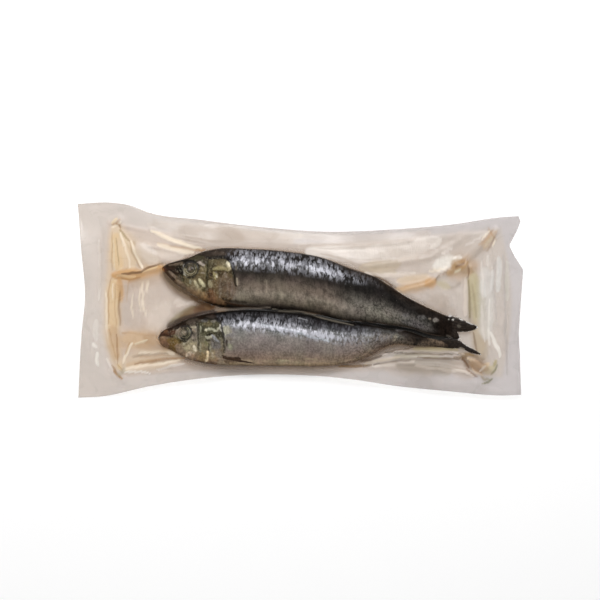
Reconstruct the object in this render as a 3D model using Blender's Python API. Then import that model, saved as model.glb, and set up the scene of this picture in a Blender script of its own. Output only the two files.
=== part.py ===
"""Salted sardines in a clear vacuum pouch, as one solid with the pouch's outer form.

Two whole sardines lie on their sides, heads to -X and backs to +Y. The pouch's two films meet in a
thin web round them, fold where the formed pocket has collapsed, and end in a wavy sealed flange.
The solid follows the film over and under the fish, with its underside flattened on the table at Z = 0.
"""

import math

import bmesh
import bpy
import numpy as np

MM = 0.001

# Driving sizes, in millimetres. X runs along the fish, Y across them, and Z up from the table.
WEB_THICKNESS = 0.6
FILM_THICKNESS = 0.15
BRIDGE_RADIUS = 6.0
FLANGE_HEIGHT = 4.2
CORNER_DROOP = 3.0
HALF_LENGTH = 125.0
HALF_WIDTH = 55.0
SEAM_INSET = 2.0
HULL_SKEW = 0.12
LENS_POWER = 2.3
LENS_ROUNDNESS = 0.55

# The pouch's plan. Each edge is drawn through the fewest points that its curve needs.
TOP_EDGE = [(-126.0, 54.4), (-108.0, 55.2), (-97.0, 53.7), (-85.0, 49.3), (-57.0, 45.4), (-28.6, 42.0),
            (17.0, 38.6), (56.0, 40.2), (85.0, 42.6), (113.0, 46.6), (123.9, 47.3)]
BOTTOM_EDGE = [(-125.6, -55.3), (-113.7, -54.8), (-85.3, -48.8), (-68.0, -45.9), (-17.0, -42.0),
               (28.0, -44.6), (56.0, -48.8), (85.0, -51.6), (113.0, -53.9), (125.0, -53.6)]
LEFT_EDGE = [(-55.0, -125.6), (-39.7, -124.9), (-17.0, -123.3), (0.0, -121.6), (28.0, -123.6), (54.4, -126.0)]
RIGHT_EDGE = [(-53.6, 125.0), (-28.4, 123.9), (-11.3, 123.3), (0.0, 124.2), (17.0, 125.3), (29.5, 117.4),
              (31.2, 117.4), (44.5, 124.2), (47.3, 123.9)]

# Stations down each fish: x, back edge y, belly edge y, half thickness, height of the middle plane.
FAR_FISH = [(-78.0, 18.7, 17.0, 1.0, 6.0), (-75.1, 21.3, 10.8, 2.2, 6.2), (-70.6, 22.7, 4.5, 3.8, 6.6),
            (-63.8, 24.4, 0.0, 5.6, 7.0), (-54.7, 27.9, -4.5, 7.4, 7.4), (-45.6, 29.2, -6.2, 8.2, 7.7),
            (-28.6, 28.9, -6.3, 8.8, 7.9), (-6.0, 27.2, -7.4, 9.0, 8.0), (11.1, 24.4, -9.6, 8.7, 7.8),
            (28.1, 18.1, -13.2, 7.6, 7.0), (45.1, 12.2, -16.2, 6.0, 5.8), (62.1, 1.9, -18.2, 4.2, 4.6),
            (79.1, -6.8, -21.0, 1.9, 3.3), (86.0, -9.9, -21.3, 0.6, 2.9)]
NEAR_FISH = [(-80.8, -20.4, -22.1, 1.2, 5.8), (-78.5, -17.6, -25.5, 2.6, 6.0), (-72.9, -14.5, -28.6, 4.0, 6.4),
             (-64.4, -10.0, -33.2, 5.8, 6.9), (-55.8, -7.6, -35.7, 7.2, 7.2), (-45.6, -6.9, -37.1, 8.0, 7.5),
             (-34.3, -6.8, -37.4, 8.4, 7.6), (-11.6, -7.9, -37.4, 8.6, 7.7), (5.4, -9.9, -37.7, 8.3, 7.5),
             (22.4, -12.7, -36.9, 7.4, 6.9), (39.4, -15.9, -33.5, 5.8, 5.8), (56.4, -18.3, -28.4, 4.0, 4.7),
             (70.6, -20.4, -27.2, 2.2, 3.5), (84.0, -22.4, -27.4, 0.6, 2.9)]

# Tail lobes: root x, y, tip x, y, half width at the root and at the tip. The blades lie in the web.
TAIL_LOBES = [(84.0, -13.5, 99.5, -16.2, 3.6, 1.2), (84.0, -18.0, 90.5, -22.3, 3.4, 1.2),
              (83.0, -24.0, 90.0, -24.9, 2.5, 1.6), (85.0, -25.4, 101.5, -32.0, 2.2, 0.9)]
TAIL_HEIGHT = 2.9
TAIL_RISE = 0.5
TAIL_EDGE = 1.4

# Eyes: x, y, radius. Under the film each shows as a dome in a ring.
EYES = [(-62.4, 18.7, 3.4), (-65.5, -19.1, 3.2)]
EYE_RISE = 0.9
EYE_GROOVE = 0.45

# The rear edge of each gill cover, from the nape round to the throat: y and x.
GILL_COVERS = [[(-3.5, -42.0), (0.0, -38.6), (5.7, -37.2), (14.7, -37.5), (21.5, -39.6), (25.5, -44.5)],
               [(-35.0, -46.5), (-31.2, -43.0), (-25.5, -42.5), (-19.3, -43.5), (-13.6, -45.3), (-10.5, -49.5)]]
GILL_STEP = 0.6
GILL_REACH = 9.0

# Grooves in the heads: half width, depth and route. Cheek edges, jaws, and the throat under each cover.
HEAD_GROOVES = [(0.7, 0.40, [(-52.4, 23.5), (-52.2, 14.0), (-53.6, 5.7), (-57.0, 1.5)]),
                (0.8, 0.50, [(-78.2, 17.8), (-75.1, 15.3), (-71.6, 10.5), (-68.5, 7.2)]),
                (0.6, 0.30, [(-49.6, 5.5), (-44.0, 4.0), (-38.6, 2.6)]),
                (0.7, 0.40, [(-57.3, -13.0), (-57.6, -21.5), (-58.4, -28.4), (-62.5, -32.0)]),
                (0.8, 0.50, [(-80.5, -21.8), (-78.0, -23.4), (-75.0, -26.6), (-71.5, -29.0)]),
                (0.6, 0.30, [(-54.5, -27.5), (-49.0, -29.0), (-43.5, -29.8)])]

# Ridges on the fish: half width, height and route. The folded breast fins.
FIN_RIDGES = [(1.3, 0.5, [(-42.5, -1.2), (-33.0, -3.4), (-22.0, -4.8)]),
              (1.3, 0.5, [(-43.5, -32.2), (-34.5, -34.0), (-25.3, -35.6)])]

# Folds in the film: half width, height and route. Brine fills the wide ones.
FILM_FOLDS = [
    (3.2, 1.2, [(-106.0, 40.0), (-105.5, 15.0), (-105.5, -19.0), (-103.0, -41.0)]),
    (2.3, 1.6, [(-106.5, 43.5), (-102.5, 44.5)]),
    (2.3, 1.8, [(-104.8, -40.0), (-101.4, -45.0)]),
    (1.0, 0.8, [(-103.5, 40.8), (-99.0, 30.6), (-97.8, 18.1)]),
    (1.0, 0.8, [(-103.0, 40.5), (-94.4, 28.4), (-90.4, 18.1)]),
    (1.6, 1.2, [(-105.0, 14.7), (-91.0, 16.4), (-77.5, 18.4)]),
    (4.6, 0.7, [(-101.5, -24.4), (-91.0, -24.4), (-80.5, -22.6)]),
    (1.7, 1.0, [(-102.0, -41.4), (-79.7, -37.4), (-56.0, -36.6)]),
    (1.2, 0.9, [(-84.2, 39.1), (-71.2, 32.3), (-53.0, 28.4)]),
    (1.0, 0.7, [(-85.3, 30.6), (-74.0, 28.4), (-61.5, 25.5)]),
    (1.6, 1.3, [(55.8, 5.7), (70.6, 8.5), (78.0, 13.0), (91.6, 20.4)]),
    (2.7, 1.8, [(89.3, 19.3), (96.1, 18.1)]),
    (1.7, 1.3, [(93.8, 21.5), (101.8, 30.6), (110.3, 39.1)]),
    (3.0, 1.2, [(96.1, 17.0), (98.4, 0.0), (100.6, -17.0), (103.5, -32.9)]),
    (3.0, 1.8, [(96.1, -32.3), (101.8, -37.4), (107.4, -42.0)]),
    (1.0, 0.8, [(47.3, -30.6), (56.4, -29.5), (79.1, -29.5), (98.9, -31.8)]),
    (1.0, 0.7, [(42.2, -35.2), (56.4, -32.9), (79.1, -32.3), (98.9, -32.9)]),
    (1.2, 0.8, [(56.4, -35.7), (79.1, -37.4), (100.6, -42.0)]),
    (1.4, 0.7, [(29.2, 18.1), (56.4, 21.5), (73.4, 23.8), (90.4, 34.0)]),
    (0.9, 0.4, [(-101.2, 42.0), (-85.3, 38.6), (-51.3, 32.3), (0.0, 29.5), (39.4, 30.6), (79.1, 35.2),
                (104.6, 37.4)]),
    (0.9, 0.4, [(-101.2, -42.0), (-57.0, -38.8), (0.0, -39.4), (45.0, -38.0), (79.1, -38.6), (101.8, -42.5)]),
]
FOLD_UNDERSIDE = 0.4

# The solver's grid and its passes.
CELL = 1.0
WEB_PASSES = 1500
FILM_PASSES = 500

# The mesh. Its rows follow the fish: flange, flank and back of the near one, the cleft, flank and back of
# the far one, flange. Beyond the fish the rows fan out to the places named here on the two side edges.
COLUMNS = 220
BAND_ROWS = (15, 20, 6, 2, 22, 6, 19)
LEFT_FAN = (-33.0, -15.0, -9.0, 6.0, 25.0, 33.0)
RIGHT_FAN = (-36.0, -22.0, -17.0, -9.0, 12.0, 20.0)
CLEFT = 0.6
EDGE_BLEND = 24.0
COVER_BLEND = 16.0
KEPT_SHARE = 0.133

# Colours from the photograph: the web's milky film, brine, a fish's dark back, flank and head.
COLOURS = {
    "clear_film": ((0.62, 0.57, 0.53, 1.0), 0.25, 0.0),
    "brine": ((0.48, 0.33, 0.18, 1.0), 0.25, 0.0),
    "dark_back": ((0.035, 0.033, 0.035, 1.0), 0.3, 0.3),
    "silver_flank": ((0.26, 0.25, 0.24, 1.0), 0.3, 0.6),
    "gold_head": ((0.24, 0.20, 0.12, 1.0), 0.35, 0.5),
    "tail_fin": ((0.05, 0.04, 0.03, 1.0), 0.4, 0.1),
}
BACK_FROM = [(-81.0, 0.62), (0.0, 0.60), (40.0, 0.35), (62.0, 0.10), (86.0, -0.15)]
BRINE_FROM = 0.45


def through(points, at):
    """A smooth curve through the points, read at any place between the first and the last."""
    xs, ys = np.array(points, float).T
    slopes = np.gradient(ys, xs)
    at = np.clip(at, xs[0], xs[-1])
    i = np.clip(np.searchsorted(xs, at, side="right") - 1, 0, len(xs) - 2)
    span = xs[i + 1] - xs[i]
    t = (at - xs[i]) / span
    return (
        (1 + 2 * t) * (1 - t) ** 2 * ys[i]
        + t * (1 - t) ** 2 * span * slopes[i]
        + t**2 * (3 - 2 * t) * ys[i + 1]
        + t**2 * (t - 1) * span * slopes[i + 1]
    )


def smooth_step(t):
    t = np.clip(t, 0.0, 1.0)
    return t * t * (3.0 - 2.0 * t)


def distance_to(route, x, y):
    """How far each point is from a route of straight runs."""
    nearest = np.full(np.shape(x), np.inf)
    for (ax, ay), (bx, by) in zip(route, route[1:]):
        run = (bx - ax) ** 2 + (by - ay) ** 2
        t = np.clip(((x - ax) * (bx - ax) + (y - ay) * (by - ay)) / run, 0.0, 1.0)
        nearest = np.minimum(nearest, np.hypot(x - ax - t * (bx - ax), y - ay - t * (by - ay)))
    return nearest


def rounded(distance, half_width):
    """A rounded ridge's share of its height at a distance from its route."""
    return np.cos(np.clip(distance / half_width, 0.0, 2.0) * math.pi / 2) / 2 + 0.5


def fish_place(fish, x, y):
    """Where points lie on a fish: -1 belly to 1 back, half thickness, middle height, and whether inside."""
    table = np.array(fish)
    back, belly, half, middle = (through(table[:, [0, column]], x) for column in (1, 2, 3, 4))
    across = (y - (back + belly) / 2) / np.maximum((back - belly) / 2, 1e-6)
    inside = (x >= table[0, 0]) & (x <= table[-1, 0]) & (np.abs(across) < 1.0)
    return across, half, middle, inside


def flank_rise(across, half):
    """Height of a flank over the middle plane. The fullest line is a little nearer the back."""
    shifted = across - HULL_SKEW * (1.0 - across**2)
    return half * np.clip(1.0 - np.abs(shifted) ** LENS_POWER, 0.0, 1.0) ** LENS_ROUNDNESS


def tail_share(x, y):
    """The share of a tail blade's rise over each point: 1 in a lobe, 0 outside, and sloped at its edge."""
    share = np.zeros(np.shape(x))
    for ax, ay, bx, by, root, tip in TAIL_LOBES:
        run = (bx - ax) ** 2 + (by - ay) ** 2
        t = np.clip(((x - ax) * (bx - ax) + (y - ay) * (by - ay)) / run, 0.0, 1.0)
        away = np.hypot(x - ax - t * (bx - ax), y - ay - t * (by - ay))
        share = np.maximum(share, smooth_step((root + (tip - root) * t - away) / TAIL_EDGE + 0.5))
    return share


def fish_heights(x, y):
    """Top, underside, middle height and footprint of the two fish, short of their tails."""
    top, under = np.full(np.shape(x), -np.inf), np.full(np.shape(x), np.inf)
    middle, inside = np.zeros(np.shape(x)), np.zeros(np.shape(x), bool)
    for fish in (FAR_FISH, NEAR_FISH):
        across, half, plane, within = fish_place(fish, x, y)
        rise = flank_rise(across, half)
        top = np.where(within, np.maximum(top, plane + rise), top)
        under = np.where(within, np.minimum(under, plane - rise), under)
        middle = np.where(within, plane, middle)
        inside = inside | within
    return top, under, middle, inside


def head_relief(x, y):
    """What the eyes, gill covers, jaws and breast fins add to a flank."""
    relief = np.zeros(np.shape(x))
    for fish, (ex, ey, radius), cover in zip((FAR_FISH, NEAR_FISH), EYES, GILL_COVERS):
        inside = fish_place(fish, x, y)[3]
        from_eye = np.hypot(x - ex, y - ey)
        dome = EYE_RISE * np.clip(1.0 - (from_eye / radius) ** 2, 0.0, 1.0)
        ring = EYE_GROOVE * rounded(np.abs(from_eye - radius - 0.4), 0.5)
        edge_x = through(cover, y)
        ahead = np.clip(edge_x - x, 0.0, GILL_REACH)
        span = (y > cover[0][0]) & (y < cover[-1][0])
        plate = GILL_STEP * smooth_step(ahead / 0.9) * (1.0 - ahead / GILL_REACH) * span
        relief = relief + np.where(inside, dome - ring + plate, 0.0)
    for half_width, depth, route in HEAD_GROOVES:
        relief = relief - depth * rounded(distance_to(route, x, y), half_width)
    for half_width, height, route in FIN_RIDGES:
        relief = relief + height * rounded(distance_to(route, x, y), half_width)
    return relief


def fold_height(x, y, narrowest=0.0):
    """What the film's folds add to the web, those of at least a given half width."""
    height = np.zeros(np.shape(x))
    for half_width, rise, route in FILM_FOLDS:
        if half_width >= narrowest:
            height = np.maximum(height, rise * rounded(distance_to(route, x, y), half_width))
    return height


def flange_height(x, y):
    """The sealed flange waves gently, and its corners droop towards the table."""
    wave = 1.1 * np.sin(2 * math.pi * x / 96.0 + 0.6) + 0.7 * np.sin(2 * math.pi * (x / 43.0 + y / 90.0))
    wave = wave + 0.8 * np.sin(2 * math.pi * y / 52.0 + x / 60.0)
    droop = CORNER_DROOP * (np.abs(x) / HALF_LENGTH) ** 4 * (np.abs(y) / HALF_WIDTH) ** 3
    return np.maximum(FLANGE_HEIGHT + wave - droop, 0.6)


def averaged(grid):
    """Each cell's mean over its four neighbours, with the border kept."""
    mean = grid.copy()
    mean[1:-1, 1:-1] = (grid[:-2, 1:-1] + grid[2:, 1:-1] + grid[1:-1, :-2] + grid[1:-1, 2:]) / 4.0
    return mean


def drawn_tight():
    """The film's top and underside on a square grid, stretched over the fish and pressed down onto the web."""
    xs = np.arange(-HALF_LENGTH - 3.0, HALF_LENGTH + 3.5, CELL)
    ys = np.arange(-HALF_WIDTH - 3.0, HALF_WIDTH + 3.5, CELL)
    x, y = np.meshgrid(xs, ys, indexing="ij")
    top, under, middle, footprint = fish_heights(x, y)
    within = (
        (y < through(TOP_EDGE, x) - SEAM_INSET)
        & (y > through(BOTTOM_EDGE, x) + SEAM_INSET)
        & (x > through(LEFT_EDGE, y) + SEAM_INSET)
        & (x < through(RIGHT_EDGE, y) - SEAM_INSET)
    )
    tail = tail_share(x, y) > 0.5
    free = within & ~footprint & ~tail
    web = np.where(footprint, middle, np.where(tail, TAIL_HEIGHT, flange_height(x, y)))
    for _ in range(WEB_PASSES):
        web = np.where(free, averaged(web), web)
    press = CELL**2 / (4.0 * BRIDGE_RADIUS)
    over = np.maximum(np.where(footprint, top + FILM_THICKNESS, -np.inf), web + WEB_THICKNESS / 2)
    below = np.minimum(np.where(footprint, under - FILM_THICKNESS, np.inf), web - WEB_THICKNESS / 2)
    below = np.maximum(below, 0.0)
    film_top, film_under = over.copy(), below.copy()
    for _ in range(FILM_PASSES):
        film_top = np.maximum(over, averaged(film_top) - press)
        film_under = np.minimum(below, averaged(film_under) + press)
    return xs, ys, film_top, np.maximum(film_under, 0.0)


def sampled(xs, ys, grid, x, y):
    """The grid's height at any point, by bilinear interpolation."""
    fx, fy = (x - xs[0]) / CELL, (y - ys[0]) / CELL
    i, j = fx.astype(int), fy.astype(int)
    tx, ty = fx - i, fy - j
    low = grid[i, j] * (1 - tx) + grid[i + 1, j] * tx
    high = grid[i, j + 1] * (1 - tx) + grid[i + 1, j + 1] * tx
    return low * (1 - ty) + high * ty


def fish_rows(fish, x, left, right):
    """Belly, back line and back of a fish, with each carried on to its places on the side edges."""
    table = np.array(fish)
    start, end = table[0, 0], table[-1, 0]
    back, belly = through(table[:, [0, 1]], x), through(table[:, [0, 2]], x)
    line = (back + belly) / 2 + through(BACK_FROM, x) * (back - belly) / 2
    ahead = np.clip((start - x) / (start + HALF_LENGTH), 0.0, 1.0)
    behind = np.clip((x - end) / (HALF_LENGTH - end), 0.0, 1.0)
    rows = []
    for row, to_left, to_right in zip((belly, line, back), left, right):
        rows.append(row + (to_left - row) * ahead + (to_right - row) * behind)
    return rows


def plan_points():
    """The mesh's corners on the pouch's plan, by column and row."""
    x = np.linspace(-HALF_LENGTH, HALF_LENGTH, COLUMNS + 1)
    near = fish_rows(NEAR_FISH, x, LEFT_FAN[:3], RIGHT_FAN[:3])
    far = fish_rows(FAR_FISH, x, LEFT_FAN[3:], RIGHT_FAN[3:])
    cleft = (near[2] + far[0]) / 2
    near[2] = np.minimum(near[2], cleft - CLEFT / 2)
    far[0] = np.maximum(far[0], cleft + CLEFT / 2)
    guides = [through(BOTTOM_EDGE, x), *near, *far, through(TOP_EDGE, x)]
    rows = [guides[0]]
    for low, high, count in zip(guides, guides[1:], BAND_ROWS):
        rows += [low + (high - low) * k / count for k in range(1, count + 1)]
    y = np.array(rows).T
    x = np.repeat(x[:, None], y.shape[1], axis=1)
    covers = sorted(GILL_COVERS[0] + GILL_COVERS[1])
    middle = x[np.argmin(np.abs(x[:, 0] - np.mean([c[1] for c in covers]))), 0]
    x = x + (through(covers, y) - middle) * (1.0 - smooth_step(np.abs(x - middle) / COVER_BLEND))
    from_left = 1.0 - smooth_step((x + HALF_LENGTH) / EDGE_BLEND)
    from_right = 1.0 - smooth_step((HALF_LENGTH - x) / EDGE_BLEND)
    x = x + (through(LEFT_EDGE, y) + HALF_LENGTH) * from_left
    return x + (through(RIGHT_EDGE, y) - HALF_LENGTH) * from_right, y


def film_faces():
    """The heights of the pouch's upper and lower face over any points of its plan."""
    xs, ys, tops, unders = drawn_tight()

    def heights(x, y):
        top, under, _, footprint = fish_heights(x, y)
        high = sampled(xs, ys, tops, x, y)
        low = sampled(xs, ys, unders, x, y)
        high = np.where(footprint, np.maximum(high, top + FILM_THICKNESS), high)
        folds, blade = fold_height(x, y) * ~footprint, TAIL_RISE * tail_share(x, y) * ~footprint
        high = high + np.maximum(folds, blade) + head_relief(x, y) * footprint
        low = np.maximum(low - np.maximum(FOLD_UNDERSIDE * folds, blade), 0.0)
        return np.maximum(high, low + WEB_THICKNESS), low

    return heights


def pouch_mesh():
    """Two grids, one over and one under the fish, bridged round the flange's edge."""
    x, y = plan_points()
    corners = np.stack([x, y, x], axis=-1)
    faces_z = film_faces()(x, y)
    bm = bmesh.new()
    rims = set()
    for face in (0, 1):
        corners[..., 2] = faces_z[face]
        made = bmesh.ops.create_grid(bm, x_segments=COLUMNS, y_segments=sum(BAND_ROWS), size=0.5)["verts"]
        for vert in made:
            column, row = round((vert.co.x + 0.5) * COLUMNS), round((vert.co.y + 0.5) * sum(BAND_ROWS))
            vert.co = corners[column, row] * MM
        faces = {f for v in made for f in v.link_faces}
        rims |= {e for f in faces for e in f.edges if e.is_boundary}
        if face == 1:
            bmesh.ops.reverse_faces(bm, faces=list(faces))
    bmesh.ops.bridge_loops(bm, edges=list(rims))
    bmesh.ops.recalc_face_normals(bm, faces=bm.faces)
    for f in bm.faces:
        f.smooth = True
    mesh = bpy.data.meshes.new("pouch")
    bm.to_mesh(mesh)
    bm.free()
    return mesh


def finish_of(name):
    colour, roughness, metallic = COLOURS[name]
    material = bpy.data.materials.new(name)
    material.use_nodes = True
    shader = material.node_tree.nodes["Principled BSDF"]
    shader.inputs["Base Color"].default_value = colour
    shader.inputs["Roughness"].default_value = roughness
    shader.inputs["Metallic"].default_value = metallic
    return material


def paint(mesh):
    """Gives each face the finish of what shows through the film there."""
    names = list(COLOURS)
    for name in names:
        mesh.materials.append(finish_of(name))
    centres = np.empty(len(mesh.polygons) * 3)
    mesh.polygons.foreach_get("center", centres)
    x, y = centres.reshape(-1, 3)[:, :2].T / MM
    finish = np.full(len(x), names.index("clear_film"))
    finish[fold_height(x, y, narrowest=1.5) > BRINE_FROM] = names.index("brine")
    finish[tail_share(x, y) > 0.5] = names.index("tail_fin")
    for fish, cover in zip((FAR_FISH, NEAR_FISH), GILL_COVERS):
        across, _, _, inside = fish_place(fish, x, y)
        finish[inside] = names.index("silver_flank")
        finish[inside & (x < through(cover, y))] = names.index("gold_head")
        finish[inside & (across > through(BACK_FROM, x))] = names.index("dark_back")
    mesh.polygons.foreach_set("material_index", finish)


def free_corners(mesh):
    """The corners that no upper colour border runs through, which is where faces may be merged."""
    seen = {}
    for face in mesh.polygons:
        for corner in face.vertices:
            seen.setdefault(corner, set()).add(face.material_index if face.normal.z > 0 else 0)
    return [corner for corner, finishes in seen.items() if len(finishes) == 1]


def clear_scene():
    for obj in list(bpy.data.objects):
        bpy.data.objects.remove(obj)


def main():
    clear_scene()
    mesh = pouch_mesh()
    paint(mesh)
    pouch = bpy.data.objects.new("pouch", mesh)
    bpy.context.scene.collection.objects.link(pouch)
    pouch.vertex_groups.new(name="free").add(free_corners(mesh), 1.0, "REPLACE")
    fewer = pouch.modifiers.new("Fewer faces", "DECIMATE")
    fewer.ratio = KEPT_SHARE
    fewer.vertex_group = "free"
    fewer.use_collapse_triangulate = True


main()
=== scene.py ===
"""Salted sardines in a clear vacuum pouch: the fish, their eyes and fins, the brine and the film.

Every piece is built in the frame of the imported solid. X runs along the fish from head to tail, Y from
bellies to backs, and Z up from the table. Sizes in the tables are millimetres.
"""

import math

import bpy
import numpy as np
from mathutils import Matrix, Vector


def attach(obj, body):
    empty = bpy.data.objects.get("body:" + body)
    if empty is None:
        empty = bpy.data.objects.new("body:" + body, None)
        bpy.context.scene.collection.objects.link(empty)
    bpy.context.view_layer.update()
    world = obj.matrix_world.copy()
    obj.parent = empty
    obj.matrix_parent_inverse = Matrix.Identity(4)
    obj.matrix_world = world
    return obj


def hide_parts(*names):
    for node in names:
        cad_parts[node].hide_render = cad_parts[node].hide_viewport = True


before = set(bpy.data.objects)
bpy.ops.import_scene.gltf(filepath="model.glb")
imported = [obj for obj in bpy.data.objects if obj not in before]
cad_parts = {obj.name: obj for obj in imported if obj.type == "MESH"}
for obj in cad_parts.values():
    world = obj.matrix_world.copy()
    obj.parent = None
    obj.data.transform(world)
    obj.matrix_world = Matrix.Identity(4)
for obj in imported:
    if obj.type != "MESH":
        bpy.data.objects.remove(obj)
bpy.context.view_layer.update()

bl_info = {
    "name": "Salted Sardines in a Pouch",
    "version": (1, 0, 0),
    "blender": (4, 5, 0),
    "location": "3D View > Sidebar > Sardines",
    "description": "Builds salted sardines in a clear vacuum pouch, with brine, film and a plain stage",
    "category": "Add Mesh",
}

MM = 0.001

# The pouch's plan, as in the solid.
HALF_LENGTH = 125.0
HALF_WIDTH = 55.0
TOP_EDGE = [(-126, 54.4), (-108, 55.2), (-97, 53.7), (-85, 49.3), (-57, 45.4), (-28.6, 42),
            (17, 38.6), (56, 40.2), (85, 42.6), (113, 46.6), (123.9, 47.3)]
BOTTOM_EDGE = [(-125.6, -55.3), (-113.7, -54.8), (-85.3, -48.8), (-68, -45.9), (-17, -42),
               (28, -44.6), (56, -48.8), (85, -51.6), (113, -53.9), (125, -53.6)]
LEFT_EDGE = [(-55, -125.6), (-39.7, -124.9), (-17, -123.3), (0, -121.6), (28, -123.6), (54.4, -126)]
RIGHT_EDGE = [(-53.6, 125), (-46, 124.7), (-30.6, 124.3), (-19.3, 123.6), (-7.7, 124.2), (2, 124.9),
              (11.5, 125.6), (17.2, 126), (24.4, 121.4), (30.8, 118), (38.7, 122.2), (44.4, 124.5), (47.3, 123.5)]

# Stations down each fish: x, back edge y, belly edge y, half thickness, height of the middle plane.
FAR_FISH = [(-78, 18.7, 17, 1, 6), (-75.1, 21.3, 10.8, 2.2, 6.2), (-70.6, 22.7, 4.5, 3.8, 6.6),
            (-63.8, 24.4, 0, 5.6, 7), (-54.7, 27.9, -4.5, 7.4, 7.4), (-45.6, 29.2, -6.2, 8.2, 7.7),
            (-28.6, 28.9, -6.3, 8.8, 7.9), (-6, 27.2, -7.4, 9, 8), (11.1, 24.4, -9.6, 8.7, 7.8),
            (28.1, 18.1, -13.2, 7.6, 7), (45.1, 12.2, -16.2, 6, 5.8), (62.1, 1.9, -18.2, 4.2, 4.6),
            (79.1, -6.8, -21, 1.9, 3.3), (86, -9.9, -21.3, 0.6, 2.9)]
NEAR_FISH = [(-80.8, -20.4, -22.1, 1.2, 5.8), (-78.5, -17.6, -25.5, 2.6, 6), (-72.9, -14.5, -28.6, 4, 6.4),
             (-64.4, -10, -33.2, 5.8, 6.9), (-55.8, -7.6, -35.7, 7.2, 7.2), (-45.6, -6.9, -37.1, 8, 7.5),
             (-34.3, -6.8, -37.4, 8.4, 7.6), (-11.6, -7.9, -37.4, 8.6, 7.7), (5.4, -9.9, -37.7, 8.3, 7.5),
             (22.4, -12.7, -36.9, 7.4, 6.9), (39.4, -15.9, -33.5, 5.8, 5.8), (56.4, -18.3, -28.4, 4, 4.7),
             (70.6, -20.4, -27.2, 2.2, 3.5), (84, -22.4, -27.4, 0.6, 2.9)]

# How far each fish's skin lies inside the film's outline: x, at the back, at the belly.
FAR_TRIM = [(-78, 0.3, 0.3), (-75.1, 1.1, 3.4), (-70.6, 1, 5.2), (-63.8, 0.8, 5.2), (-54.7, 0.7, 4),
            (-45.6, 0.2, 2.2), (-34, 0.1, 1.8), (-6, 0.1, 1.7), (11, 0.1, 1.2), (22, 0.1, 0.9),
            (34.8, 0.1, 2.4), (42, 0.3, 2.8), (50, 1, 2.9), (56, 1.2, 2.7), (64.4, 1.1, 2.1), (68.3, 0.9, 1.4),
            (72.9, 0.7, 0.9), (77.4, 0.5, 0.6), (86, 0.4, 0.4)]
NEAR_TRIM = [(-80.8, 0.1, 0.1), (-78.5, 0.6, 0.3), (-72.9, 0.6, 0.4), (-64, 1.1, 0.4), (-56, 0.8, 0.4),
             (-45, -0.4, 0.4), (-34, -1.1, 0.4), (-11, -1.2, 0.3), (0, -1.3, 0.3), (11, -1.1, 0.3),
             (22, -0.7, 0.4), (34.8, -2, 1), (43, -2, 3), (48.5, -1.6, 4), (56.4, -1.7, 3.3),
             (62, -1.3, 1.8), (68.3, 0, 1), (74, 0.8, 0.7), (84, 1.2, 0.6)]

# Where each snout starts, and how far back it rounds out. Then the form of a flank across the fish.
SNOUTS = [(-78, 0.4), (-79.9, 1.8)]
HULL_SKEW = 0.12
LENS_POWER = 2.3
LENS_ROUNDNESS = 0.55

# Tail lobes: root x, y, tip x, y, half width at the root and at the tip. The blades lie in the web.
TAIL_LOBES = [(84, -13.5, 99.5, -16.2, 3.6, 1.2), (84, -18, 90.5, -22.3, 3.4, 1.2),
              (83, -24, 90, -24.9, 2.5, 1.6), (85, -25.4, 101.5, -32, 2.2, 0.9)]
TAIL_HEIGHT = 2.9
TAIL_RISE = 0.5
TAIL_EDGE = 1.4
BLADE_EDGE = 0.6

# Tail blades as they show: points down each, with x, y and half width.
TAIL_BLADES = [
    [(74, -11.8, 3), (79, -12.6, 3.9), (83.9, -13.2, 4.1), (87.3, -13.7, 3.8), (90.7, -14.6, 3.4),
     (95.1, -15.3, 2.5), (98.5, -15.4, 1.4), (99.9, -15.3, 0.6)],
    [(76, -15, 3.4), (81.1, -16.4, 4), (85.6, -18.2, 3.4), (88.3, -20.4, 1.8), (89.6, -21.9, 0.7)],
    [(79.5, -23.6, 1.6), (84.5, -23.7, 2.3), (88.5, -24.3, 2), (91.3, -25.2, 1.1), (93.8, -26.1, 0.4)],
    [(78, -24.9, 1.7), (83.2, -25.2, 2), (87.3, -25.6, 1.8), (90.2, -25.9, 1.4), (93.6, -27.1, 1.3),
     (96.9, -28.7, 1.2), (99.8, -29.8, 0.8), (102, -30.7, 0.3)],
]

# Each eye's x, y and radius, its tone in sRGB, and the rings painted on it: radius, from and to in degrees, half
# width, strength and tone. The dark arcs over the top of each eye are painted shade, and its pale arcs are partly
# painted light.
EYES = [(-61.3, 17.5, 3.7), (-64.9, -18.3, 3.2)]
EYE_TONES = [(72, 65, 48), (88, 78, 62)]
EYE_RINGS_LIT_AND_SHADED = [
    [(3.9, 20, 160, 1.2, 1, (17, 12, 7)), (4.5, -125, 60, 0.8, 0.95, (32, 28, 15)),
     (0, 0, 360, 1.7, 0.9, (92, 82, 70)), (0.8, -60, 80, 0.5, 0.7, (46, 38, 28)),
     (0.6, 110, 250, 0.5, 0.6, (122, 110, 96)), (2.2, 130, 410, 0.62, 1, (20, 17, 9)),
     (3.15, 175, 340, 0.55, 1, (160, 151, 122)), (3.15, -25, 45, 0.45, 0.8, (112, 103, 76)),
     (3.9, 190, 225, 0.4, 0.6, (140, 132, 106))],
    [(3.4, 20, 130, 1, 0.95, (26, 17, 9)), (2.9, 130, 240, 0.8, 0.7, (126, 110, 92)),
     (3.8, -130, 65, 0.8, 0.95, (30, 26, 15)), (0.3, 0, 360, 1.2, 0.9, (128, 116, 98)),
     (1.5, -40, 100, 0.5, 0.8, (72, 66, 48)), (2.2, -120, 90, 0.55, 0.95, (34, 31, 20)),
     (2.95, -80, 60, 0.45, 0.9, (122, 116, 92)), (2, 110, 220, 0.4, 0.6, (72, 62, 50))],
]
EYE_RING_FADE = 24.0
EYE_RING_FULL = 1.3

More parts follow.
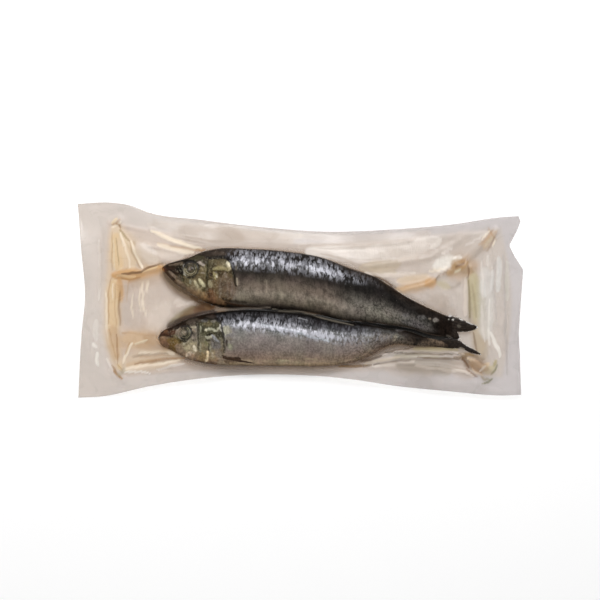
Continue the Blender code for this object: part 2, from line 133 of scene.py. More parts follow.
# The form of an eye: its rim past the radius in mm, then, as shares of its disc, the lens's rise and radius, and
# the rise, radius and half width of the rings round it.
EYE_MESH = (26, 72)
EYE_RIM = 0.9
EYE_LENS = (0.26, 0.34)
EYE_FORM = ((-0.16, 0.38, 0.05), (0.10, 0.56, 0.08), (-0.12, 0.68, 0.05))

# Relief of the heads: eyes, gill covers by y and x, grooves and breast fins by half width, depth and route.
EYE_RISE = 0.6
EYE_GROOVE = 0.3
EYE_GROOVE_OUT = 0.4
EYE_GROOVE_WIDTH = 0.5
GILL_COVERS = [[(-3.5, -42), (0, -38.6), (5.7, -37.2), (14.7, -37.5), (21.5, -39.6), (25.5, -44.5)],
               [(-35, -46.5), (-31.2, -43), (-25.5, -42.5), (-19.3, -43.5), (-13.6, -45.3), (-10.5, -49.5)]]
GILL_STEP = 0.6
GILL_BEVEL = 0.9
GILL_REACH = 9.0
GILL_FADE = 1.2
HEAD_GROOVES = [(0.7, 0.40, [(-52.4, 23.5), (-52.2, 14), (-53.6, 5.7), (-57, 1.5)]),
                (0.8, 0.50, [(-78.2, 17.8), (-75.1, 15.3), (-71.6, 10.5), (-68.5, 7.2)]),
                (0.6, 0.30, [(-49.6, 5.5), (-44, 4), (-38.6, 2.6)]),
                (0.7, 0.40, [(-57.3, -13), (-57.6, -21.5), (-58.4, -28.4), (-62.5, -32)]),
                (0.8, 0.50, [(-80.5, -21.8), (-78, -23.4), (-75, -26.6), (-71.5, -29)]),
                (0.6, 0.30, [(-54.5, -27.5), (-49, -29), (-43.5, -29.8)])]
FIN_RIDGES = [(1.3, 0.5, [(-42.5, -1.2), (-33, -3.4), (-22, -4.8)]),
              (1.3, 0.5, [(-43.5, -32.2), (-34.5, -34), (-25.3, -35.6)])]

# Fins: corners along and round a blade, its ragged edge, how soon its ends close, its roundness and its rays.
BLADE_MESH = (72, 32)
BLADE_RAGGED = 0.16
BLADE_NICKS = 18.0
BLADE_ENDS = (0.04, 0.06)
BLADE_ROUND = 0.6
RAY_RISE = 0.25
TAIL_THICKNESS = 0.55
TAIL_RAYS = 5
BREAST_FIN_THICKNESS = 0.2
BREAST_FIN_RAYS = 3
BREAST_FIN_WIDTHS = (0.5, 0.8, 0.2)
BREAST_FIN_SUNK = 0.05

# Folds in the film, as in the solid: half width, height and route.
FILM_FOLDS = [
    (3.2, 1.2, [(-106, 40), (-105.5, 15), (-105.5, -19), (-103, -41)]),
    (2.3, 1.6, [(-106.5, 43.5), (-102.5, 44.5)]),
    (2.3, 1.8, [(-104.8, -40), (-101.4, -45)]),
    (1, 0.8, [(-103.5, 40.8), (-99, 30.6), (-97.8, 18.1)]),
    (1, 0.8, [(-103, 40.5), (-94.4, 28.4), (-90.4, 18.1)]),
    (1.6, 1.2, [(-105, 14.7), (-91, 16.4), (-77.5, 18.4)]),
    (4.6, 0.7, [(-101.5, -24.4), (-91, -24.4), (-80.5, -22.6)]),
    (1.7, 1, [(-102, -41.4), (-79.7, -37.4), (-56, -36.6)]),
    (1.2, 0.9, [(-84.2, 39.1), (-71.2, 32.3), (-53, 28.4)]),
    (1, 0.7, [(-85.3, 30.6), (-74, 28.4), (-61.5, 25.5)]),
    (1.6, 1.3, [(55.8, 5.7), (70.6, 8.5), (78, 13), (91.6, 20.4)]),
    (2.7, 1.8, [(89.3, 19.3), (96.1, 18.1)]),
    (1.7, 1.3, [(93.8, 21.5), (101.8, 30.6), (110.3, 39.1)]),
    (3, 1.2, [(96.1, 17), (98.4, 0), (100.6, -17), (103.5, -32.9)]),
    (3, 1.8, [(96.1, -32.3), (101.8, -37.4), (107.4, -42)]),
    (1, 0.8, [(47.3, -30.6), (56.4, -29.5), (79.1, -29.5), (98.9, -31.8)]),
    (1, 0.7, [(42.2, -35.2), (56.4, -32.9), (79.1, -32.3), (98.9, -32.9)]),
    (1.2, 0.8, [(56.4, -35.7), (79.1, -37.4), (100.6, -42)]),
    (1.4, 0.7, [(29.2, 18.1), (56.4, 21.5), (73.4, 23.8), (90.4, 34)]),
    (0.9, 0.4, [(-101.2, 42), (-85.3, 38.6), (-51.3, 32.3), (0, 29.5), (39.4, 30.6), (79.1, 35.2),
                (104.6, 37.4)]),
    (0.9, 0.4, [(-101.2, -42), (-57, -38.8), (0, -39.4), (45, -38), (79.1, -38.6), (101.8, -42.5)]),
]
FOLD_UNDERSIDE = 0.4

# The film's form between flange and fish, as in the solid.
WEB_THICKNESS = 0.6
FILM_THICKNESS = 0.15
BRIDGE_RADIUS = 6.0
FLANGE_HEIGHT = 4.2
LEAST_FLANGE = 0.6
# The flange's waves: height, length and start along it, height and lengths aslant, height, length and slant across.
LONG_WAVE = (1.1, 96.0, 0.6)
SLANTING_WAVE = (0.7, 43.0, 90.0)
CROSS_WAVE = (0.8, 52.0, 60.0)
CORNER_DROOP = 3.0
SEAM_INSET = 2.0

# The square grid that the film is drawn on, and how often it is averaged.
CELL = 1.0
GRID_MARGIN = 3.0
WEB_PASSES = 1500
FILM_PASSES = 500

# The film's mesh: where its rows meet the side edges, rows from guide to guide, and how the under film skips them.
LEFT_FAN = (-33, -13, -6, 2, 25, 33)
RIGHT_FAN = (-36, -22, -17, -9, 12, 20)
UPPER_ROWS = (32, 30, 10, 12, 34, 10, 38)
UNDER_STEPS = (2, 2, 2, 3, 2, 2, 2)
END_SHARE = 0.9
END_FROM = 72.0
END_RUN = 10.0
CLEFT = 0.6
EDGE_BLEND = 24.0
BACK_FROM = [(-81, 0.62), (0, 0.60), (40, 0.35), (62, 0.10), (86, -0.15)]

# The inner line of the sealed flange.
SEAMS = {
    "upper": [(-107, 44), (-85.3, 40), (-51.3, 34), (0, 31.5), (39.4, 33), (79.1, 37), (111, 40.5)],
    "lower": [(-106, -43.5), (-57, -40), (0, -41), (45, -40), (79.1, -40.5), (108, -43.5)],
    "left": [(-44, -103), (-20, -109), (15, -109), (44, -109)],
    "right": [(-44, 114), (-30, 117), (24, 117), (41, 113)],
}
SEAM_FADE = 3.0

# The tones that the marks are painted with, in sRGB. Those of the film are as they look over a white table.
TONES = dict(
    soot=(19, 13, 9), tar=(29, 18, 11), coal=(24, 20, 18), pitch=(29, 25, 16), peat=(45, 28, 18), kelp=(40, 36, 17),
    bark=(39, 31, 25), iron=(49, 46, 36), olive=(62, 53, 29), liver=(75, 45, 30), loam=(59, 51, 46), moss=(67, 64, 46),
    mole=(75, 66, 57), teal=(60, 70, 70), umber=(93, 70, 49), mud=(92, 82, 59), cocoa=(107, 77, 53),
    brass=(111, 86, 46), bran=(103, 88, 73), leather=(119, 94, 67), lead=(98, 94, 93), copper=(128, 96, 72),
    slate=(111, 103, 90), khaki=(119, 109, 82), fern=(121, 117, 82), hemp=(126, 109, 94), cane=(140, 116, 82),
    pewter=(124, 113, 102), rust=(149, 116, 79), amber=(161, 121, 73), cork=(142, 121, 100), zinc=(128, 121, 114),
    clay=(149, 122, 98), orange=(170, 124, 77), drab=(144, 131, 101), reed=(156, 137, 99), tan=(167, 133, 98),
    ash=(148, 136, 120), stone=(147, 143, 122), fawn=(163, 143, 123), straw=(174, 148, 115), toffee=(182, 150, 110),
    steel=(150, 149, 152), lime=(173, 161, 118), hay=(169, 157, 127), flint=(165, 154, 142), honey=(200, 159, 111),
    sand=(187, 158, 127), oat=(171, 161, 139), sage=(171, 167, 146), dust=(181, 166, 152), wheat=(190, 174, 151),
    fog=(180, 172, 168), corn=(193, 182, 149), biscuit=(207, 179, 146), putty=(196, 183, 172), butter=(223, 196, 156),
    rye=(218, 197, 170), linen=(210, 198, 187), mist=(205, 201, 190), cream=(231, 208, 168), silver=(200, 208, 216),
    tallow=(226, 215, 189), shell=(227, 214, 202), chalk=(219, 216, 212), pearl=(232, 223, 215), ivory=(241, 227, 206),
    milk=(239, 234, 226),
)

# What is painted on the heads and flanks, stroke by stroke: half width and relief in tenths of a millimetre,
# strength in tenths, tone, and then the x and y of each point of its route. Besides the fish's own markings, many
# strokes are painted highlights and glints on the gill covers, cheeks, jaws and scales, and painted shade along the
# edges of the gill covers and jaws.
FAR_MARKS = [
    (17, 0, 9, "bark", -59, 25, -44, 27, -33, 27), (10, 0, 6, "mole", -49, 26, -45, 26, -42, 26),
    (12, 0, 8, "moss", -62.5, 23, -54.5, 24), (7, 0, 10, "tar", -79.3, 19.1, -58.6, 25.4),
    (6, 0, 9, "soot", -68.7, 22, -65.3, 22.3, -58.6, 21.9), (27, 0, 9, "mud", -65, 11, -58, 8),
    (12, 0, 7, "khaki", -61, 7, -57, 5.5, -54, 6), (20, 0, 9, "tar", -74, 18, -66, 17),
    (17, 0, 10, "soot", -69, 17, -66, 16, -66, 15), (12, 0, 9, "peat", -77, 17.5, -73, 17.5, -69, 15.5),
    (5, 1, 8, "bran", -73.7, 19.5, -65.9, 20.9, -60.3, 21), (10, 0, 8, "liver", -78, 17.5, -75.5, 16.5),
    (6, 0, 7, "orange", -78.3, 17.9, -77.1, 16), (12, 0, 8, "leather", -76, 14, -68.5, 6.5, -63.5, 3.5),
    (10, 0, 8, "peat", -75.5, 15.5, -71, 11.5), (6, -3, 8, "tar", -72.9, 16.6, -69.8, 14.4, -67, 12.9),
    (6, 1, 8, "hemp", -73.5, 15.9, -70.1, 12.3), (14, 0, 7, "mole", -69, 12.5, -67, 11),
    (10, 1, 8, "cork", -69, 10.5, -67.5, 9, -65, 7), (7, 0, 7, "cork", -65.5, 7, -63, 5.5, -61.5, 5.5),
    (23, 0, 9, "rust", -61, 3, -52, 1), (14, 0, 6, "cane", -63, 5, -59, 4, -54, 4),
    (17, 0, 8, "cocoa", -50, 6, -49, -2), (4, 0, 6, "peat", -51.5, 6.7, -51.3, 1.1),
    (5, -1, 8, "kelp", -66, 14.3, -65.3, 10.4), (5, 1, 8, "stone", -65.1, 15.1, -64.2, 13.6),
    (6, 1, 7, "stone", -61.8, 11.2, -61.4, 9.5), (4, 1, 6, "drab", -64.2, 9.2, -62.5, 8.4),
    (5, 1, 6, "ash", -55.2, 15.2, -53.8, 15), (23, 0, 7, "drab", -59, 10, -55, 7),
    (8, 1, 8, "corn", -59, 10.5, -58, 9, -57.5, 7), (5, -1, 7, "mud", -57.6, 11.2, -56.2, 7.6),
    (8, 2, 10, "corn", -56.5, 11.5, -54.5, 9, -53.5, 7.5), (5, -1, 7, "mud", -56.1, 6.7, -55.4, 8),
    (8, -1, 8, "olive", -54.5, 5, -53, 6.5), (6, 1, 8, "flint", -57.2, 21, -55.5, 20.5, -53.7, 19.5),
    (5, -3, 9, "kelp", -51.7, 22.4, -52.1, 8.4), (5, 1, 6, "khaki", -52.8, 19.6, -53.1, 12.3),
    (23, 0, 8, "mud", -50, 21, -41, 21), (5, 1, 5, "khaki", -47.9, 19.9, -44, 19.6, -40.6, 19.9),
    (5, -1, 8, "kelp", -48.3, 20.2, -49.2, 17.9, -49.5, 15.7), (8, -2, 10, "soot", -50, 15, -49.5, 13.5),
    (12, 1, 7, "hay", -50.5, 10.5, -50, 7.5), (4, -1, 8, "kelp", -51.3, 11.4, -48.5, 11.5),
    (30, 0, 9, "bran", -42, 13, -42, 8, -43, 4), (23, 0, 7, "bran", -38, 11, -38, 6, -40, 2),
    (7, 1, 6, "pewter", -42, 14.5, -41, 12.5), (4, 1, 5, "pewter", -44.4, 11.8, -44.8, 6.7, -44.6, 1.7),
    (4, -1, 5, "mole", -43.3, 10.7, -43.6, 5), (4, 1, 4, "pewter", -40.4, 11.2, -40.6, 5.6, -40.4, 2.2),
    (5, 1, 5, "pewter", -37.7, 10.1, -38.2, 2.2), (5, 1, 5, "hemp", -45.2, 6.2, -44.8, 1.1),
    (10, 2, 8, "lime", -48, 17.5, -44, 18, -39, 17.5), (10, 2, 9, "tallow", -40.5, 21.5, -39, 18.5),
    (6, 2, 7, "corn", -38.8, 18.8, -38.8, 17.6, -39.8, 16.8),
    (6, -2, 9, "kelp", -47.6, 16.1, -43.4, 16.3, -40.9, 15.9), (5, -1, 8, "pitch", -39.7, 15.8, -38.6, 15.6),
    (6, -2, 8, "pitch", -45.6, 15, -45, 13.8, -43.8, 13.8, -43.4, 15.1), (6, 1, 8, "lime", -48.3, 15.4, -47.4, 11.8),
    (6, 2, 10, "tallow", -47, 13.5, -46.3, 12.8), (4, 1, 7, "corn", -47, 14.6, -46.2, 14.2),
    (14, 0, 5, "khaki", -44, 19, -42, 19, -40, 18),
    (8, -3, 10, "coal", -52.5, 24, -49, 23.5, -45, 24, -42, 24, -39.5, 23, -38, 21),
    (6, -3, 9, "coal", -38.4, 21.9, -37.1, 14), (6, -2, 9, "pitch", -37.3, 15.1, -36.4, 11.2, -36, 7.8),
    (8, 0, 9, "tar", -58, -0.5, -48.5, -3, -43, -3.5), (7, -1, 8, "bark", -43.5, 1, -40, -0.5, -36, -1, -30, -1.5),
    (5, 0, 6, "slate", -35.7, 21.3, -35.8, 16.8), (7, -2, 10, "soot", -65.5, 21, -62.5, 22, -59, 21.5, -57, 19.5),
    (7, -2, 9, "pitch", -57.1, 20.2, -56.9, 17.4, -58.2, 14.6, -60.5, 12.8, -63.6, 12.9),
    (5, 1, 6, "drab", -55.2, 18.5, -54.4, 16.3), (7, 0, 6, "olive", -53, 10.7, -52.4, 7.3),
    (6, 0, 6, "mud", -60.8, 11.8, -59.4, 9), (4, 1, 5, "oat", -35.4, 12.3, -35.1, 8),
    (5, 0, 3, "ash", -19, 10.8, -18.5, 4), (7, 0, 3, "loam", -21, 14, -20.5, 4.5),
    (14, 0, 6, "lead", 58, -12, 64, -13, 69, -15), (10, 0, 5, "lead", 58, -9, 61, -8),
    (10, 0, 5, "lead", 66.5, -9.5, 70.5, -10), (5, 0, 6, "pewter", 72.8, -11, 73.7, -10.3),
    (10, 1, 8, "zinc", 75.5, -11.5, 77.5, -11.5), (14, 0, 7, "soot", 66, -6, 71.5, -7.5),
    (17, 0, 7, "soot", 76, -15, 82, -14), (12, 0, 8, "soot", 71, -19.5, 77, -20, 81.5, -22),
    (5, 0, 5, "loam", -38.8, -1.7, -21.8, -3.4, -0.3, -4.5), (45, 0, 3, "umber", -46, 18, -43, 7),
    (30, 0, 3, "straw", -64, 5, -56, 3),
]
NEAR_MARKS = [
    (20, 0, 8, "liver", -79, -18, -71, -18), (20, 0, 9, "copper", -78, -22, -74, -25),
    (23, 0, 8, "brass", -73, -23, -69, -24, -68, -24), (17, 0, 9, "brass", -73, -26, -71, -28),
    (27, 0, 8, "hay", -65, -26, -58, -27), (17, 0, 8, "cork", -69, -26, -66, -28),
    (20, 0, 7, "cork", -68, -30, -60, -33), (20, 0, 8, "pewter", -59, -17, -59, -21),
    (14, 0, 9, "tar", -79, -18, -70, -14, -66, -13, -62, -13), (14, 0, 9, "tar", -66, -12, -54, -9, -48, -9),
    (7, 1, 7, "cocoa", -76.3, -18.1, -75, -17.7), (5, -1, 8, "peat", -73.9, -16.3, -73.2, -19.2),
    (7, 0, 8, "peat", -79.4, -17.9, -79.4, -20.7), (5, -4, 8, "peat", -79.2, -19.8, -73.7, -20.2, -71.2, -21.2),
    (6, 1, 6, "clay", -77.4, -21.1, -74.7, -21.6), (10, 0, 7, "brass", -71.5, -22, -70, -25),
    (8, 0, 8, "olive", -68.5, -21.5, -67, -23.5), (8, 1, 8, "hemp", -69.5, -19, -68.5, -17.5, -67.5, -17.5),
    (10, 0, 9, "tar", -70, -15.5, -67, -14.5, -63.5, -15, -62, -16.5), (14, 0, 7, "mole", -63, -12.5, -56.5, -12),
    (8, 0, 8, "pitch", -58, -12, -57.5, -15), (6, 1, 9, "oat", -60.8, -15.1, -58.7, -15.1),
    (5, -1, 7, "loam", -60.4, -17.4, -58.8, -20.3), (5, 1, 7, "ash", -59.9, -21.2, -58.8, -23.2),
    (5, 1, 9, "oat", -61.1, -21, -62.8, -22.9, -65.5, -24.7), (8, 2, 9, "tallow", -59.5, -26, -58.5, -28.5),
    (8, 1, 9, "rye", -64, -31.5, -61.5, -29.5), (6, 0, 7, "sand", -60.3, -30.4, -60.7, -33.6),
    (27, 0, 9, "moss", -55, -14, -46, -14), (17, 0, 8, "moss", -55, -18, -48, -18),
    (27, 0, 8, "lead", -48, -24, -46, -26), (20, 0, 8, "khaki", -55, -25, -54, -28),
    (20, 0, 8, "cane", -55, -31, -54, -34), (14, 0, 7, "drab", -49, -29, -49, -33),
    (17, 0, 7, "pewter", -46, -29, -45, -32), (12, 0, 7, "mud", -53.5, -13.5, -50, -13),
    (7, 1, 6, "zinc", -49.4, -11.7, -47.5, -11.8), (7, 0, 7, "lead", -55, -11.5, -52, -11.5),
    (5, -3, 8, "iron", -56.9, -14, -57.2, -28), (3, 1, 5, "ash", -57.7, -21.3, -57.8, -25.8),
    (6, 2, 8, "sage", -53, -16.9, -51.3, -16.3, -47, -17), (6, 2, 9, "tallow", -52.8, -16.4, -52.5, -17.2),
    (5, 2, 8, "sage", -46.9, -17.2, -44.6, -14.7), (5, 2, 8, "mist", -44.8, -14.1, -44.2, -17.5),
    (7, -2, 9, "pitch", -52, -20, -49.5, -19),
    (5, 1, 8, "sage", -52.7, -20.4, -51.4, -21.2, -50.2, -20.7, -49.4, -19.5),
    (6, 0, 8, "iron", -52.8, -22.2, -50.6, -22.5), (14, 0, 8, "iron", -47, -19, -44, -20),
    (6, 1, 9, "steel", -49.3, -19.6, -47.7, -21.5, -45.5, -23.4), (5, 1, 5, "zinc", -49.9, -21.3, -49, -25.5),
    (5, -1, 5, "loam", -48.7, -22.6, -47.4, -25.4), (6, 0, 6, "fern", -53.1, -23.1, -51.7, -25.3),
    (4, 1, 7, "stone", -55.9, -24.1, -55.8, -29.3), (5, -1, 7, "iron", -51.1, -24.5, -51, -28.3),
    (4, 1, 6, "stone", -50.2, -25.2, -50.3, -29.3), (6, 1, 10, "cream", -51.6, -29.1, -52, -32, -53, -34.8),
    (5, 1, 7, "oat", -49.3, -29.5, -49, -32.2), (5, 1, 6, "fawn", -46.4, -33.1, -44.4, -33.4),
    (7, 0, 8, "coal", -54.5, -10.5, -49.5, -10.5, -45, -10.5, -38.5, -13.5),
    (7, 0, 7, "loam", -52.1, -9.5, -47.1, -9.5),
    (5, -3, 8, "pitch", -44.3, -10.9, -42.6, -22.4, -42.4, -25.8, -42.7, -29.1),
    (7, 0, 9, "sage", -42.4, -14.6, -41.7, -19.3), (10, 0, 7, "sage", -40.5, -15, -40.5, -18.5),
    (6, 0, 6, "stone", -38.8, -15.1, -38.7, -18.2), (10, 0, 6, "slate", -41, -21.5, -38.5, -22),
    (6, -1, 8, "bark", -41, -22.5, -40.8, -25.7), (5, 0, 7, "slate", -41.8, -24.1, -41.8, -29.4),
    (12, 1, 7, "stone", -39.5, -25, -38.5, -27.5), (7, -2, 9, "peat", -43.5, -31, -41, -32.5, -38, -33, -33.5, -33),
    (10, 0, 7, "umber", -42, -34.5, -36.5, -35), (7, 0, 6, "bran", -57, -34.5, -52, -36, -47, -36.5),
    (7, 0, 9, "pitch", -63.5, -14.5, -61.5, -16.5, -61, -18.5, -62, -21, -64, -23, -67, -23),
    (5, 1, 6, "wheat", -61.4, -29.1, -59.4, -30), (5, -1, 5, "mud", -65.3, -26.1, -63.1, -24.9),
    (5, 1, 6, "fawn", -60.3, -16.5, -58.9, -17.9), (5, -1, 6, "mole", -60, -23, -58, -21.9),
    (5, 0, 6, "iron", -54.1, -15.1, -54.4, -18.5), (4, 1, 6, "stone", -55.8, -14.6, -55.6, -17.9),
    (6, 1, 6, "silver", -21.6, -13.7, -5.9, -16.8, -0.3, -18.2, 6.4, -20.7, 16.5, -23),
    (4, 0, 5, "teal", -18.2, -17.1, -11.5, -17.7, -5.9, -19.1),
    (6, 0, 5, "steel", -33.9, -12.3, -28.3, -14, -21.6, -15.1), (8, 0, 5, "coal", -0.5, -10.5, 6.5, -12.5, 12, -14.5),
    (3, 1, 5, "steel", -1.4, -10.1, 4.2, -11.2), (7, 0, 3, "hay", -21.5, -34, -10.5, -35, -0.5, -35),
    (4, 1, 5, "corn", -12.6, -33.6, -5.9, -34.2), (5, 1, 4, "hay", 3.1, -32.8, 9.8, -33.6),
    (10, 0, 6, "straw", -39, -35.5, -22, -37, -0.5, -37, 22.5, -36), (17, 0, 5, "bran", 70, -23, 82, -26),
    (17, 0, 7, "bark", 56, -18, 69, -22), (10, 0, 8, "soot", 61, -18, 67, -20.5, 72.5, -22.5),
    (8, 0, 8, "coal", 64, -26, 66, -23.5, 67, -21.5), (8, 1, 6, "bran", 72.5, -22, 77, -23, 81.5, -25),
    (6, 1, 7, "ash", 53.5, -20.2, 53, -23), (7, 0, 6, "lead", 54.1, -16.8, 58, -16.8),
    (30, 0, 2, "liver", -78, -20, -73, -21),
]
